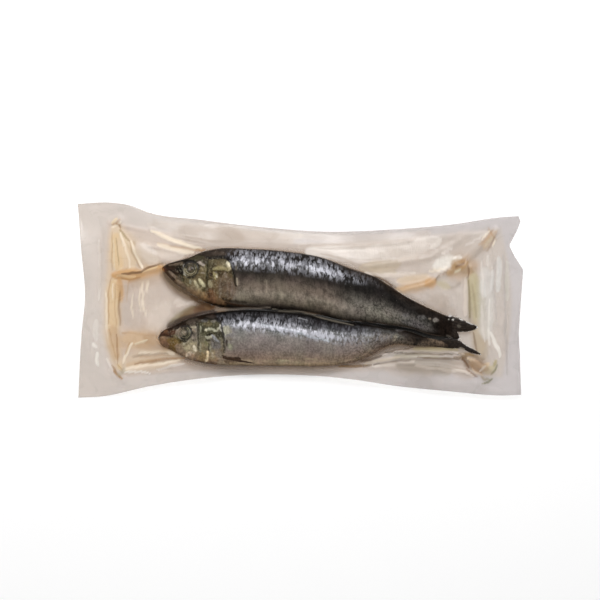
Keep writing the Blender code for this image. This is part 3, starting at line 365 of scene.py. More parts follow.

# What brine and creases draw on the film, with painted glints and highlights, and painted shade beside creases and
# below the fish, as seen on white: the same values.
FILM_MARKS = [
    (40, 3, 7, "rye", -104, 41, -105, 11, -106, -6, -106, -23, -103, -37), (60, 0, 8, "rye", -102, 37, -96, 19),
    (12, -2, 5, "straw", -94.5, 32.5, -90.5, 25, -85.5, 17.5),
    (30, 2, 7, "biscuit", -105, 14, -93, 14, -84, 16, -77, 18), (50, 0, 6, "biscuit", -101, -23, -91, -23, -81, -21),
    (45, 0, 6, "rye", -100, -37, -88, -34, -69, -32), (35, 0, 8, "putty", -70, 38, -22, 34, -6, 33),
    (27, 0, 5, "putty", -98, -3, -96, -14), (20, 0, 5, "dust", -100, 8, -85, 10, -76, 11),
    (30, 0, 8, "butter", -104, 36, -102, 18), (30, 0, 7, "rye", -101, 34, -95, 19),
    (3, -2, 6, "reed", -103.8, 35.5, -101.8, 19.7), (4, 3, 7, "ivory", -100.1, 35.5, -95.6, 18.1),
    (3, 2, 6, "tallow", -105.5, 33.9, -104.9, 23.7, -104.1, 16.9), (3, -2, 6, "straw", -106.2, 38.4, -106.1, 16.9),
    (7, 5, 9, "ivory", -95.5, 33.5, -93.5, 26.5, -88.5, 18.5), (5, -3, 8, "reed", -102, 40, -96, 33.5),
    (5, -3, 7, "straw", -96, 33.5, -95, 27, -90, 18.5), (5, 4, 8, "ivory", -101.5, 38, -100, 34, -99.5, 30),
    (35, 0, 6, "shell", -91, 30, -82, 23), (12, 2, 6, "pearl", -90, 31, -85.5, 29, -81.5, 26),
    (6, 4, 7, "cream", -106.5, 43.5, -103.5, 46.5), (23, 5, 9, "honey", -105, 14, -89, 15),
    (17, 5, 8, "honey", -89, 15, -78, 18), (7, 3, 8, "butter", -89.5, 16, -80.5, 18.5),
    (5, -4, 8, "cocoa", -100.5, 14.5, -89.5, 16, -86, 18, -77, 20.5),
    (4, -3, 7, "amber", -104.7, 11.8, -96.2, 11.8, -88.3, 13), (6, 3, 6, "butter", -103, 13.5, -93, 13.5),
    (17, 0, 8, "honey", -80, 17, -77, 16), (17, 0, 8, "honey", -102, 11, -101, 0),
    (30, 5, 7, "butter", -105, 10, -106, -17), (5, -3, 7, "rust", -101, 5.5, -102, -3.5, -101.5, -14.5),
    (4, -3, 7, "toffee", -106.6, 12.4, -108.3, 2.3, -108.4, -13.5), (3, 3, 7, "ivory", -105.2, 9.6, -105.8, 0),
    (3, -2, 5, "toffee", -103.8, 9, -104.4, -5.6, -103.5, -22.6),
    (5, 4, 7, "ivory", -109.5, 4.5, -109.5, -14.5, -107.5, -24.5, -103, -35.5),
    (27, 5, 8, "biscuit", -106, -16, -104, -32), (4, -3, 7, "tan", -103.5, -19.2, -103, -28.2, -103, -35.5),
    (3, -2, 6, "toffee", -107.5, -16.9, -104.1, -32.7), (5, -3, 9, "amber", -107, -38.5, -104, -41.5, -100, -44.5),
    (7, 4, 8, "cream", -102.5, -36.5, -100.5, -40), (3, 0, 6, "rust", -103, -36.1, -99.6, -40.6),
    (7, 3, 8, "milk", -117.5, -24.5, -115.5, -27), (7, 4, 8, "milk", -115, -30, -115, -33.5, -114, -37),
    (55, 0, 4, "putty", -96, 0, -93, -14), (6, 2, 7, "sand", -100.5, -18.5, -81, -19.5),
    (35, 0, 7, "biscuit", -98, -22, -85, -23), (27, 0, 7, "sand", -87, -21, -80, -23),
    (5, 4, 6, "tallow", -93, -25, -86, -22.5), (6, 5, 9, "ivory", -94.5, -24.5, -97, -28, -98.5, -31.5, -99.5, -35.5),
    (4, -3, 6, "toffee", -95.9, -24.3, -99, -30.5), (10, 5, 7, "ivory", -91, -30.5, -78, -29.5, -71.5, -30),
    (12, 3, 6, "biscuit", -97.5, -37, -89.5, -35, -79.5, -33.5),
    (5, -3, 7, "tan", -93.5, -36, -85, -34, -76.5, -33, -64.5, -32.5),
    (7, 5, 7, "ivory", -98.5, -39, -90, -37, -68, -34), (4, -2, 6, "sand", -90.6, -32.4, -82.1, -31.3, -73.6, -31),
    (4, 3, 8, "milk", -99.6, -40.6, -93.9, -40.3, -87.2, -40.6, -84.9, -41.5), (5, 3, 6, "pearl", -81, -39, -65, -36),
    (5, 4, 7, "ivory", -88.5, 10.5, -89, 6, -87.5, 1.5), (5, 4, 7, "ivory", -85, 10.5, -86.5, 7.5, -86, 4.5),
    (4, 3, 6, "ivory", -90, 5.6, -90.6, 0, -89.4, -5.6), (4, 3, 6, "ivory", -94.5, 2.3, -95.1, -3.4, -93.9, -10.2),
    (5, 4, 7, "ivory", -88.5, 1, -88.5, -3.5, -86.5, -9), (45, 0, 5, "shell", -84, -15, -75, -4),
    (20, 0, 6, "shell", -70, -1, -66, -1), (6, 3, 4, "pearl", -113.5, 34, -113.5, 0),
    (12, 0, 3, "milk", -115.5, -11.5, -115.5, -22.5), (10, 5, 9, "ivory", -84, 39, -78, 36.5, -64, 31, -56, 29),
    (6, -3, 7, "sand", -80.5, 32, -72, 30, -64, 29, -55, 28),
    (10, 5, 8, "ivory", -80.5, 31, -73.5, 29, -65.5, 27, -60, 27), (27, 0, 5, "shell", -79, 26, -72, 25, -67, 25),
    (6, -2, 6, "tan", -59, 28.5, -53.5, 28.5), (20, 0, 6, "linen", -85, 43, -23, 37, 0, 36),
    (3, -3, 5, "straw", -97.3, 10.2, -97.9, 0), (20, 0, 6, "putty", 0, 30, 36, 31, 56, 32, 73, 35),
    (30, 2, 8, "pearl", 5, 27, 34, 26, 48, 26), (27, 2, 8, "pearl", 39, 28, 53, 28, 62, 29, 70, 32),
    (35, 0, 7, "pearl", 48, 24, 59, 26, 70, 29), (20, 2, 6, "pearl", 65, 32, 78, 34),
    (30, 0, 6, "putty", 56, 18, 73, 25), (23, -2, 8, "wheat", 35, 18, 53, 20, 56, 21),
    (12, 0, 7, "wheat", 37, 16.5, 54, 16), (10, 4, 7, "shell", 37, 15, 45, 14, 64.5, 14.5),
    (10, 3, 7, "shell", 56, 22, 62, 23.5, 66.5, 26), (17, 2, 7, "rye", 56, 11, 72, 13),
    (7, 0, 8, "fawn", 43, 12, 47, 10, 54, 5.5), (5, -2, 9, "umber", 34.5, 14.5, 45, 12.5, 49, 10.5, 53, 7.5, 56, 6),
    (12, 5, 8, "honey", 57.5, 6, 69.5, 8.5, 75.5, 9), (4, -3, 8, "amber", 55, 6.5, 76.4, 11.8),
    (17, 0, 4, "linen", 0, 36, 28, 35, 56, 36, 73, 38), (60, 3, 6, "sand", 86, 16, 91, 19, 97, 19),
    (40, 3, 6, "wheat", 98, 14, 103, -32), (7, -2, 6, "ash", 94.5, 12.5, 95, 0, 96, -12.5),
    (27, 2, 6, "biscuit", 56, 6, 76, 10), (55, 0, 6, "putty", 87, 33, 96, 30), (20, 5, 8, "honey", 71, 8, 76, 11),
    (17, 1, 6, "corn", 78, 10, 82, 8, 84, 7), (35, 0, 5, "dust", 73, -2, 82, 0), (20, 0, 5, "dust", 79, -3, 87, -7),
    (20, -2, 6, "putty", 75, 24, 83, 32), (27, 3, 8, "milk", 77, 19, 87, 23),
    (10, 4, 8, "milk", 83, 20.5, 87.5, 22, 90.5, 24.5), (6, 3, 7, "ivory", 73, 16, 78.5, 16.5, 82.5, 18),
    (10, 5, 8, "pearl", 74, 29, 77.5, 31.5, 79.5, 34), (7, 5, 8, "pearl", 80, 26, 86, 30),
    (23, 5, 9, "orange", 87, 19, 93, 21), (5, -4, 8, "leather", 77, 12, 78.5, 14, 82.5, 16, 90, 21),
    (17, -1, 6, "dust", 96, 24, 101, 28, 107, 30), (6, 4, 8, "pearl", 106, 25, 106.5, 19),
    (12, 2, 7, "chalk", 112.5, 23.5, 112.5, 14, 112, 5.5), (7, 2, 7, "chalk", 109, 17, 108.5, 5.5),
    (5, -1, 6, "fog", 115, 25.5, 116, -3), (8, 1, 5, "mist", 117, 21.5, 117, 0), (30, 5, 8, "corn", 98, 13, 101, -12),
    (27, 5, 7, "wheat", 101, -12, 102, -29), (5, -3, 8, "drab", 95.5, 11.5, 96, -10),
    (5, 3, 7, "corn", 98.5, 11.5, 100, 0, 101.5, -11.5), (5, -2, 7, "hay", 97.5, 9, 99.5, -10),
    (5, -3, 7, "cork", 98, -18.5, 99, -25.5, 100, -29.5), (6, 4, 8, "shell", 102.5, -3, 104.5, -23.5),
    (10, 3, 7, "shell", 94, 11.5, 93.5, -8.5), (14, 2, 7, "chalk", 103, 10, 104, 2),
    (7, 4, 8, "milk", 108, -18, 112.5, -29.5, 113, -32), (5, -1, 6, "fog", 115.5, 0, 116, -17, 117.5, -42.5),
    (30, 0, 7, "straw", 87, 21, 92, 19, 96, 16), (20, 4, 8, "toffee", 84, 15, 93, 20),
    (3, 4, 8, "tallow", 85.5, 14.4, 89.4, 16.4, 92.2, 16.9), (3, -4, 9, "copper", 87.7, 18.1, 91.7, 20.3, 94.5, 22.3),
    (3, -3, 8, "copper", 94.5, 19.7, 95.6, 15.8, 95.1, 12.4), (4, -2, 6, "flint", 83.8, 5.6, 91.1, 9.6),
    (5, -2, 5, "fog", 110.5, 21.5, 109.5, 5.5, 111, -11.5), (55, 0, 7, "flint", 56, -35, 86, -37),
    (35, 0, 6, "dust", 87, -37, 96, -42), (40, 0, 8, "cork", 94, -33, 104, -38),
    (14, 2, 6, "putty", 104, -35, 108, -36), (17, 5, 8, "corn", 103, -38, 106, -40, 109, -38),
    (7, 0, 8, "lime", 109.5, -37, 111, -34), (10, -2, 7, "leather", 87, -33, 94.5, -32.5),
    (7, -1, 7, "cane", 90, -30, 98, -31.5), (10, 2, 7, "hay", 64.5, -28, 81.5, -27.5, 89, -28),
    (10, 1, 6, "oat", 53.5, -31.5, 78.5, -31.5), (4, -3, 8, "bran", 48.2, -29.6, 61.8, -30.2, 91.1, -30.5),
    (4, -3, 7, "hemp", 49.4, -29.3, 64, -26.8), (5, -3, 8, "hemp", 66.5, -32.5, 90, -33.5),
    (5, -3, 8, "hemp", 42, -37, 48, -36, 62, -34), (7, -2, 8, "leather", 22.5, -37, 40.5, -37),
    (6, 0, 7, "umber", 34.5, -34.5, 41.5, -33.5, 46, -31.5), (7, 2, 6, "wheat", 37, -36, 56, -32.5),
    (27, 0, 5, "putty", 50, -39, 73, -41), (27, 0, 5, "fog", 62, -44, 79, -46),
    (10, -1, 5, "flint", 67.5, -35, 78.5, -35.5, 87, -37), (8, 4, 7, "linen", 42.5, -38, 59, -35.5, 64, -35),
    (7, 4, 8, "shell", 65, -37.5, 72, -38, 85.5, -40, 93, -40.5, 98, -42.5), (12, 0, 5, "fog", 67.5, -49, 84.5, -50),
    (14, 0, 3, "flint", -44, -41, 0, -42, 17, -41), (17, 0, 8, "drab", -73, -13, -60, -4),
    (27, 0, 8, "leather", -67, -11, -57, -5, -52, -4), (17, 0, 9, "cocoa", -59, -6, -54, -4, -49, -4),
    (12, 0, 9, "peat", -75, -15, -64.5, -10.5, -54.5, -7.5, -47.5, -6.5), (7, 2, 7, "clay", -53.5, -3.5, -51, -5),
    (20, 0, 8, "cork", -78, 15, -75, 11, -70, 6, -59, 0), (12, 0, 8, "bran", -77, 15.5, -73.5, 11.5, -69, 7.5, -58, 1),
    (12, 0, 8, "umber", -61, 1.5, -55.5, -1, -50, -3),
    (10, 0, 6, "clay", -79.5, -20.5, -75, -25.5, -68, -29, -59.5, -31.5, -48, -34),
    (5, -3, 7, "tan", -106.5, 42.5, -104, 43.5, -102, 46), (5, 3, 7, "ivory", -106.5, 41, -103.5, 42.5, -101.5, 44),
    (4, -3, 7, "rust", -104.1, 42.9, -102.4, 42.6, -101.6, 40.6),
    (5, -3, 8, "rust", -106.5, -37, -104.5, -39, -103.5, -41), (5, 3, 7, "pearl", -109.5, -32.5, -106, -40),
    (10, 2, 6, "oat", -102.5, -42.5, -100.5, -41, -99, -39), (4, -3, 7, "straw", 101.8, 30.5, 108.6, 37.2),
    (5, 3, 7, "tallow", 104, 30.5, 107, 33.5, 110.5, 36), (5, 2, 5, "pearl", 93.5, 30.5, 104.5, 37),
    (5, -4, 8, "cocoa", 91.5, -33.5, 94, -35.5, 95.5, -38.5), (5, -3, 8, "copper", 96, -35, 98.5, -37, 102, -39),
    (5, 4, 8, "rye", 94.5, -33, 97.5, -34.5, 100.5, -35), (5, 3, 7, "rye", 97.5, -39, 100, -41, 103.5, -42.5),
    (4, -3, 7, "copper", 93.9, -38.9, 100.1, -43.4), (5, -3, 8, "fern", 103, -47.5, 106.5, -46.5, 109, -44.5),
    (5, -3, 8, "fern", 108, -42.5, 110.5, -39.5, 111.5, -36.5), (5, -2, 7, "drab", 102.5, -43.5, 104.5, -45, 107, -45),
    (45, 0, 8, "putty", -67, 38, -34, 35), (20, 0, 4, "putty", -111, 40, -111, 23, -113, 6),
    (4, -2, 5, "dust", 58.4, -29.3, 70.2, -30.5, 81.5, -29.9), (27, 0, 4, "ash", 56, -37, 84, -40),
    (5, -3, 6, "cork", -95, -32.5, -85, -30.5, -75, -30), (5, -3, 6, "clay", -93, -36, -82, -34.5, -69, -33.5),
    (20, 0, 5, "sand", -91, -26, -82, -26, -76, -28), (7, 0, 5, "shell", -69, -3, -60.5, -1),
    (40, 0, 7, "putty", -65, 38, -34, 35), (27, 0, 5, "fawn", 98, -36, 104, -40, 107, -41),
    (23, 0, 4, "linen", 50, 28, 72, 21), (23, 0, 3, "wheat", -94, 27, -79, 21),
    (35, 0, 5, "chalk", 105, 16, 105, 0, 105, -20), (35, 0, 4, "fog", 54, -50, 104, -51),
    (35, 0, 6, "putty", -67, 38, -34, 35), (6, -2, 5, "dust", 12, 26, 25, 23, 36.5, 18, 45, 13),
    (5, 3, 5, "pearl", 102.5, 21.5, 103.5, 10, 103, 0), (5, 3, 5, "milk", 107, 0, 106.5, -14, 107.5, -25.5),
    (14, 2, 5, "biscuit", 103.5, 29, 107, 34.5, 110.5, 38.5), (5, -2, 6, "tan", 100.5, 30.5, 106, 35.5, 109, 40),
    (4, 2, 6, "clay", 105.2, 27.1, 110.9, 36.7), (4, -2, 6, "tan", 106.3, 40.6, 108.6, 36.7, 110.9, 33.9),
    (4, 3, 7, "ivory", 102.4, 33.9, 106.9, 38.9), (4, 3, 7, "ivory", 108.6, 30.5, 110.3, 33.9),
    (14, 2, 5, "biscuit", 97, -34, 101, -38), (10, 2, 5, "butter", 103, -38.5, 106.5, -35.5),
    (5, -2, 6, "tan", 95.5, -36, 99.5, -39.5, 103, -41.5), (4, 2, 6, "sand", 98.4, -33.3, 102.4, -37.2),
    (4, 3, 7, "milk", 101.3, -40.6, 104.7, -37.2), (35, 0, 4, "dust", -66, 38, -34, 35),
    (23, 0, 2, "peat", -58, -3, -51, -4), (50, 0, 3, "dust", 47, 25, 71, 26), (23, 0, 5, "clay", 98, -36, 105, -39),
]

# Painted glints where creases of the film catch the light, which show on the fish too: the same values.
OVER_MARKS = [
    (4, 2, 8, "pewter", -47.4, -5.9, -40.6, -5.3, -16.5, -4.2),
    (4, 2, 8, "slate", -15.4, -5, -11.5, -5.9, 0.8, -6.7, 6.4, -8.1, 12.1, -10.1, 30, -14.2),
    (4, 2, 7, "mist", 83.9, -10.9, 84.4, -10.9), (4, 2, 9, "milk", 86, -11.1, 87.2, -11.2),
    (8, 0, 6, "slate", 89, -14.5, 90.5, -15), (6, 0, 5, "pewter", 82.9, -19.9, 85.7, -21.4),
    (5, 0, 7, "ash", 90.2, -26.9, 93, -27.8),
]

# Where the film's web is crinkled: x, y, radius along x, radius along y, and depth.
CRINKLED = [(-91, -1, 12, 15, 0.30), (83, 0, 11, 10, 0.35), (108, 2, 10, 34, 0.30),
            (-116, -20, 8, 26, 0.22), (62, 26, 26, 9, 0.16), (-76, 26, 16, 8, 0.16)]
CRINKLE_EDGE = 1.6
# The crinkles' folds: share, slant, cell along x, cell along y, and seed.
CRINKLE_FOLDS = ((1.0, 0.15, 2.2, 8.5, 40), (0.5, -0.3, 1.3, 4.5, 60))

# The silver band of each flank by x, bright silver scales that also stand for a painted highlight of the key light:
# its middle and half width across, and its strength, solid over 0.8.
FAR_BAND_AND_HIGHLIGHT = [(-42, 0.64, 0.18, 0), (-37, 0.63, 0.20, 0.75), (-20, 0.62, 0.22, 0.88), (0, 0.61, 0.22, 0.92),
            (14, 0.62, 0.20, 1), (24, 0.62, 0.17, 0.85), (32, 0.64, 0.13, 0.45), (40, 0.64, 0.10, 0)]
NEAR_BAND_AND_HIGHLIGHT = [(-44, 0.58, 0.12, 0.5), (-31.5, 0.50, 0.15, 1), (-17, 0.44, 0.17, 1.12), (0, 0.36, 0.18, 1.15),
             (19.5, 0.26, 0.20, 1.05), (34, 0.20, 0.25, 0.65), (48, 0.12, 0.28, 0.25), (58, 0.1, 0.2, 0)]

# Rows of smaller silver scales between the band and the back: the same four values.
FAR_UPPER = [(-42, 0.82, 0.10, 0), (-36, 0.82, 0.13, 0.22), (0, 0.82, 0.13, 0.20), (24, 0.82, 0.12, 0.22),
             (40, 0.76, 0.12, 0.12), (48, 0.7, 0.1, 0)]
NEAR_UPPER = [(-50, 0.74, 0.10, 0), (-40, 0.72, 0.12, 0.30), (0, 0.70, 0.14, 0.24), (12, 0.68, 0.14, 0.15),
              (30, 0.60, 0.16, 0.18), (50, 0.5, 0.2, 0.10), (62, 0.4, 0.2, 0)]
BAND_ROUND = 0.7

# Flank tones from belly to back: place across, and tone in sRGB, at the shoulder, the rear and the stalk.
FAR_RAMPS = [
    [(-1, 48, 40, 33), (-0.9, 60, 52, 44), (-0.76, 102, 92, 79), (-0.5, 140, 129, 115),
     (-0.28, 108, 98, 86), (0, 74, 66, 59), (0.2, 44, 39, 35), (0.42, 48, 45, 44), (0.6, 52, 50, 51),
     (0.76, 34, 30, 28), (0.9, 24, 18, 15), (1, 18, 12, 9)],
    [(-1, 66, 60, 52), (-0.85, 92, 86, 76), (-0.7, 112, 106, 96), (-0.5, 124, 118, 108),
     (-0.25, 100, 95, 88), (0, 62, 58, 54), (0.22, 32, 29, 27), (0.5, 24, 21, 20), (0.78, 32, 26, 21),
     (0.92, 34, 26, 21), (1, 20, 13, 10)],
    [(-1, 40, 35, 31), (-0.8, 70, 65, 61), (-0.6, 102, 97, 93), (-0.35, 98, 94, 90), (-0.05, 58, 55, 52),
     (0.25, 30, 27, 26), (0.7, 32, 26, 22), (1, 22, 15, 12)],
]
NEAR_RAMPS = [
    [(-1, 166, 143, 118), (-0.88, 166, 145, 121), (-0.72, 138, 119, 102), (-0.4, 126, 115, 107),
     (0, 127, 120, 115), (0.22, 130, 127, 124), (0.42, 98, 97, 98), (0.62, 54, 53, 56),
     (0.78, 29, 27, 29), (0.9, 16, 14, 14), (1, 14, 11, 10)],
    [(-1, 136, 115, 95), (-0.8, 126, 110, 94), (-0.5, 98, 88, 80), (-0.2, 101, 94, 86),
     (0.15, 109, 104, 97), (0.45, 66, 62, 57), (0.75, 38, 35, 31), (1, 18, 14, 12)],
    [(-1, 112, 98, 83), (-0.75, 92, 80, 69), (-0.3, 64, 54, 47), (0.1, 52, 45, 40), (0.5, 34, 28, 25),
     (1, 18, 13, 11)],
]
RAMPS_FROM = [((12, 34), (48, 66)), ((30, 48), (52, 64))]
FAR_HEAD = [(-1, 88, 64, 42), (-0.7, 112, 88, 62), (-0.3, 100, 84, 60), (0.2, 84, 73, 50),
            (0.6, 62, 54, 41), (0.85, 38, 31, 25), (1, 26, 20, 16)]
NEAR_HEAD = [(-1, 128, 97, 72), (-0.75, 142, 120, 94), (-0.3, 116, 107, 88), (0.2, 90, 84, 68),
             (0.6, 70, 62, 52), (0.85, 40, 31, 26), (1, 24, 17, 14)]
TAIL_FROM = (68, 80)
TAIL_TONE = (27, 20, 16)

# Both fish, the far one first.
FISH = (FAR_FISH, NEAR_FISH)
TRIMS = (FAR_TRIM, NEAR_TRIM)
MARKS = (FAR_MARKS, NEAR_MARKS)
BANDS = ((FAR_BAND_AND_HIGHLIGHT, FAR_UPPER), (NEAR_BAND_AND_HIGHLIGHT, NEAR_UPPER))
RAMPS = (FAR_RAMPS, NEAR_RAMPS)
HEADS = (FAR_HEAD, NEAR_HEAD)

# Seeded ripples that break up the tones: height, cell along x, cell along y, and seed.
FLANK_RIPPLES = ((0.07, 2.2, 7.0, 11), (0.09, 6.0, 4.0, 21))
HEAD_RIPPLES = ((0.16, 1.3, 1.3, 81), (0.14, 0.7, 0.7, 86))
TINT_RIPPLES = ((1.0, 5.5, 4.5, 31),)
TINT = (0.03, -0.015, 0.02)
SKIN_WANDER = ((0.28, 1.7, 1.7, 90), (0.20, 0.8, 0.8, 91))
FILM_WANDER = ((0.45, 6.0, 6.0, 60), (0.20, 2.2, 2.2, 61))
LATTICE = 96
LATTICE_SHIFT = 512.0

# How a mark is laid: its width at the ends and the swell between them, and how soon it is at full strength.
MARK_TIP = 0.55
MARK_SWELL = 0.45
MARK_FULL = 1.6

# The bodies: length of the head, where relief fades at the edges, least height, and each fish's wear and flecks.
HEAD_LENGTH = 42.0
RELIEF_FADE = 1.5
LEAST_HEIGHT = 0.12
WORN = (1.0, 0.5)
HEAD_WEAR = 0.3
FLECKED = (0.12, 0.30)
REAR_FLECKS = 0.45
REAR_FROM = (14.0, 48.0)
CHEEK_FROM = (4.0, 10.0)
CHEEK_EDGE = (0.86, 0.25)

# The film on the fish: brine in the corner between them, with painted shade along their outlines, painted shade in
# the cleft between the fish, shade and cover.
BRINE_AND_SHADE_EDGE = (120, 92, 66)
BRINE_REACH = 1.3
CLEFT_SHADE = (22, 19, 14)
CLEFT_OVER = (0.1, 0.4)
CLEFT_OPEN = 6.0
CLEFT_FADE = 1.5
CLEFT_ENDS = ((-43.0, 5.0), (90.0, 2.0))
CLEFT_EDGE = 0.6
CLEFT_COVER = 0.97
BARE_EDGE = (0.7, 0.85)
SHADE_ON_FISH = 0.1
DEEP_TONE = 0.6
OVER_COVER = 0.9

# How loose the film is over the fish, on the flange, on its web and in its crinkles, and how matt where it is wet.
LOOSE_ON_FISH = 0.25
LOOSE_FLANGE = 0.10
LOOSE_WEB = 0.30
LOOSE_CRINKLES = 0.6
CREASE_RISE = 0.4
WET_MATT = 0.4

# A map's unit is 100 mm, and the parts of it that pieces share a material over lie apart.
MAP_SCALE = 0.01
FISH_MAP_STEP = 90.0
FILM_MAP_STEP = 5.0

# Noise in the skin and film: cell along x and y in millimetres, detail, roughness and distortion.
SCALES = (1.15, 3.4, 1.5, 0.5, 0.3)
GRAIN = (0.7, 0.8, 3.0, 0.7)
DRIFT = (9.0, 7.0, 3.0, 0.6)
STREAKS = (2.8, 4.6, 3.0, 0.6)
CLUMPS = (4.2, 4.8, 2.0, 0.5)
FLECKS = (1.2, 1.3, 2.5, 0.6, 0.3)
SPECKS = (0.95, 1.15, 2.0, 0.55, 0.6)
FINE_CREASES = (2.6, 11.0, 2.0, 0.5, 0.8)
LONG_CREASES = (15.0, 3.4, 2.0, 0.5, 0.5)
WAVES = (14.0, 10.0, 1.0)
HAZE = (12.0, 9.0, 3.0, 0.5, 0.8)

# How far the rows of scales lean to either side, in radians, and how the single scales lie in their cells.
SCALE_LEAN = 0.22
SCALE_TURN = 0.12
SCALE_CELLS = (1.9, 3.0, 0.85)

# Where in a noise an effect starts and is whole, and what it goes from and to.
MIDDLE = (0.3, 0.7)
SCALE_BODY = (0.25, 0.70, 1.0, 0.0)
DASH_LIT = (0.47, 0.69)
DASH_GRAIN = (0.28, 0.6, 0.6, 1.0)
DASH_CLUMP = (0.36, 0.58, 0.45, 1.08)
FLECKED_FROM = (0.42, 0.58)
MOTTLED_FROM = (0.36, 0.64)
GLINTS_FROM = (0.54, 0.66)
PITS_FROM = (0.36, 0.46)
WET_FROM = (0.44, 0.60)

# The silver band is solid over a strength, and its gaps are darker. Roughness dips and swells about its setting.
SOLID_FROM = 0.8
SOLID_GAIN = 1.2
GAP_STRENGTH = 0.6
GAP_TONE = 0.40
ROUGH_DIP = 0.06
ROUGH_SWELL = 0.14
HAZE_TONES = (0.97, 1.03)
WAVE_SHARE = 0.6

# The stage, in metres. Each light has its place, width, depth and share of the key's power.
FLOOR_HALF = 3.0
FLOOR_DROP = 0.0003
FLOOR_GRAIN = 0.985
LIGHTS = {"key": ((0.05, 0.62, 1.12), 0.75, 0.35, 1.0), "side": ((-1.1, 0.15, 0.7), 0.4, 0.6, 0.15)}
CEILING_FROM = (0.15, 0.8)
CEILING_TONE = 0.08
SENSOR = 36.0


def through(points, at):
    """A smooth curve through the points, read at any place between the first and the last."""
    xs, ys = np.array(points, float).T
    slopes = np.gradient(ys, xs)
    at = np.clip(at, xs[0], xs[-1])
    i = np.clip(np.searchsorted(xs, at, side="right") - 1, 0, len(xs) - 2)
    span = xs[i + 1] - xs[i]
    t = (at - xs[i]) / span
    return (
        (1 + 2 * t) * (1 - t) ** 2 * ys[i]
        + t * (1 - t) ** 2 * span * slopes[i]
        + t**2 * (3 - 2 * t) * ys[i + 1]
        + t**2 * (t - 1) * span * slopes[i + 1]
    )


def straight(points, at):
    """Straight runs between the points, read at any place."""
    xs, ys = np.array(points, float).T
    return np.interp(at, xs, ys)


def smooth_step(t):
    """A share that rises smoothly from 0 to 1, and stays there."""
    t = np.clip(t, 0.0, 1.0)
    return t * t * (3.0 - 2.0 * t)


def linear(colour):
    """An sRGB colour of 0 to 255 as linear light."""
    c = np.array(colour, float) / 255.0
    return np.where(c <= 0.04045, c / 12.92, ((c + 0.055) / 1.055) ** 2.4)


def station(table, column, x):
    """A column of a table of stations, read at each x."""
    return through([(row[0], row[column]) for row in table], x)


def beside(ax, ay, bx, by, x, y):
    """How far along a straight run each point lies, from 0 to 1, and how far away from it."""
    run = max((bx - ax) ** 2 + (by - ay) ** 2, 1e-9)
    t = np.clip(((x - ax) * (bx - ax) + (y - ay) * (by - ay)) / run, 0.0, 1.0)
    return t, np.hypot(x - ax - t * (bx - ax), y - ay - t * (by - ay))


def distance_to(route, x, y):
    """How far each point is from a route of straight runs."""
    return np.min([beside(*a, *b, x, y)[1] for a, b in zip(route, route[1:])], axis=0)


def rounded(distance, half_width):
    """A rounded ridge's share of its height at a distance from its route."""
    return np.cos(np.clip(distance / half_width, 0.0, 2.0) * math.pi / 2) / 2 + 0.5


def ripple(x, y, cell_x, cell_y, seed):
    """Smooth seeded noise between -1 and 1 with cells of the given size."""
    lattice = np.random.default_rng(seed).uniform(-1.0, 1.0, (LATTICE, LATTICE))
    u, v = x / cell_x + LATTICE_SHIFT, y / cell_y + LATTICE_SHIFT
    i, j = np.floor(u).astype(int), np.floor(v).astype(int)
    s, t = smooth_step(u - i), smooth_step(v - j)
    i, j, right, above = i % LATTICE, j % LATTICE, (i + 1) % LATTICE, (j + 1) % LATTICE
    low = lattice[i, j] * (1 - s) + lattice[right, j] * s
    high = lattice[i, above] * (1 - s) + lattice[right, above] * s
    return low * (1 - t) + high * t


def rippled(waves, x, y, index=0, base=0.0):
    """Seeded ripples laid on a base in turn."""
    for height, cell_x, cell_y, seed in waves:
        base = base + height * ripple(x, y, cell_x, cell_y, seed + index)
    return base


def wandered(waves, x, y):
    """The points moved a little, so that what is painted on them doesn't look ruled."""
    return x + rippled(waves, x, y), y + rippled(waves, x, y, 4)


def stroke(route, half_width, x, y):
    """The share of a mark over each point: a rounded ridge that thins towards both ends of its route."""
    share, whole, done = np.zeros(np.shape(x)), sum(math.dist(*pair) for pair in zip(route, route[1:])), 0.0
    for a, b in zip(route, route[1:]):
        t, away = beside(*a, *b, x, y)
        run = max(math.dist(a, b), 1e-6)
        along = np.clip((done + t * run) / max(whole, 1e-6), 0.0, 1.0)
        wide = half_width * (MARK_TIP + MARK_SWELL * np.sqrt(4.0 * along * (1.0 - along)))
        share = np.maximum(share, rounded(away, wide))
        done += run
    return share


def painted(colour, x, y, marks):
    """Colour and relief after each mark has been laid over them in turn, and how marked each point is."""
    relief = marked = np.zeros(np.shape(x))
    for half_width, rise, strength, tone, *run in marks:
        share = stroke(list(zip(run[::2], run[1::2])), half_width / 10.0, x, y)
        laid = strength / 10.0 * np.clip(MARK_FULL * share, 0, 1)
        colour = colour + (linear(TONES[tone]) - colour) * laid[..., None]
        relief = relief + rise / 10.0 * share
        marked = marked + (1.0 - marked) * laid
    return colour, relief, marked


def fish_place(fish, x, y):
    """Where points lie on a fish: -1 belly to 1 back, half thickness, middle height, and whether inside."""
    back, belly, half, middle = (station(fish, column, x) for column in (1, 2, 3, 4))
    across = (y - (back + belly) / 2) / np.maximum((back - belly) / 2, 1e-6)
    inside = (x >= fish[0][0]) & (x <= fish[-1][0]) & (np.abs(across) < 1.0)
    return across, half, middle, inside


def skin_edges(index, x):
    """Back and belly edge of a fish's skin, a little inside the film's outline over it."""
    fish, trim = FISH[index], TRIMS[index]
    back, belly = station(fish, 1, x) - station(trim, 1, x), station(fish, 2, x) + station(trim, 2, x)
    start, reach = SNOUTS[index]
    shut = (back - belly) / 2 * (1.0 - np.sqrt(1.0 - (1.0 - np.clip((x - start) / reach, 0.02, 1.0)) ** 2))
    return back - shut, belly + shut


def flank_rise(across, half):
    """Height of a flank over the middle plane. The fullest line is a little nearer the back."""
    shifted = across - HULL_SKEW * (1.0 - across**2)
    return half * np.clip(1.0 - np.abs(shifted) ** LENS_POWER, 0.0, 1.0) ** LENS_ROUNDNESS


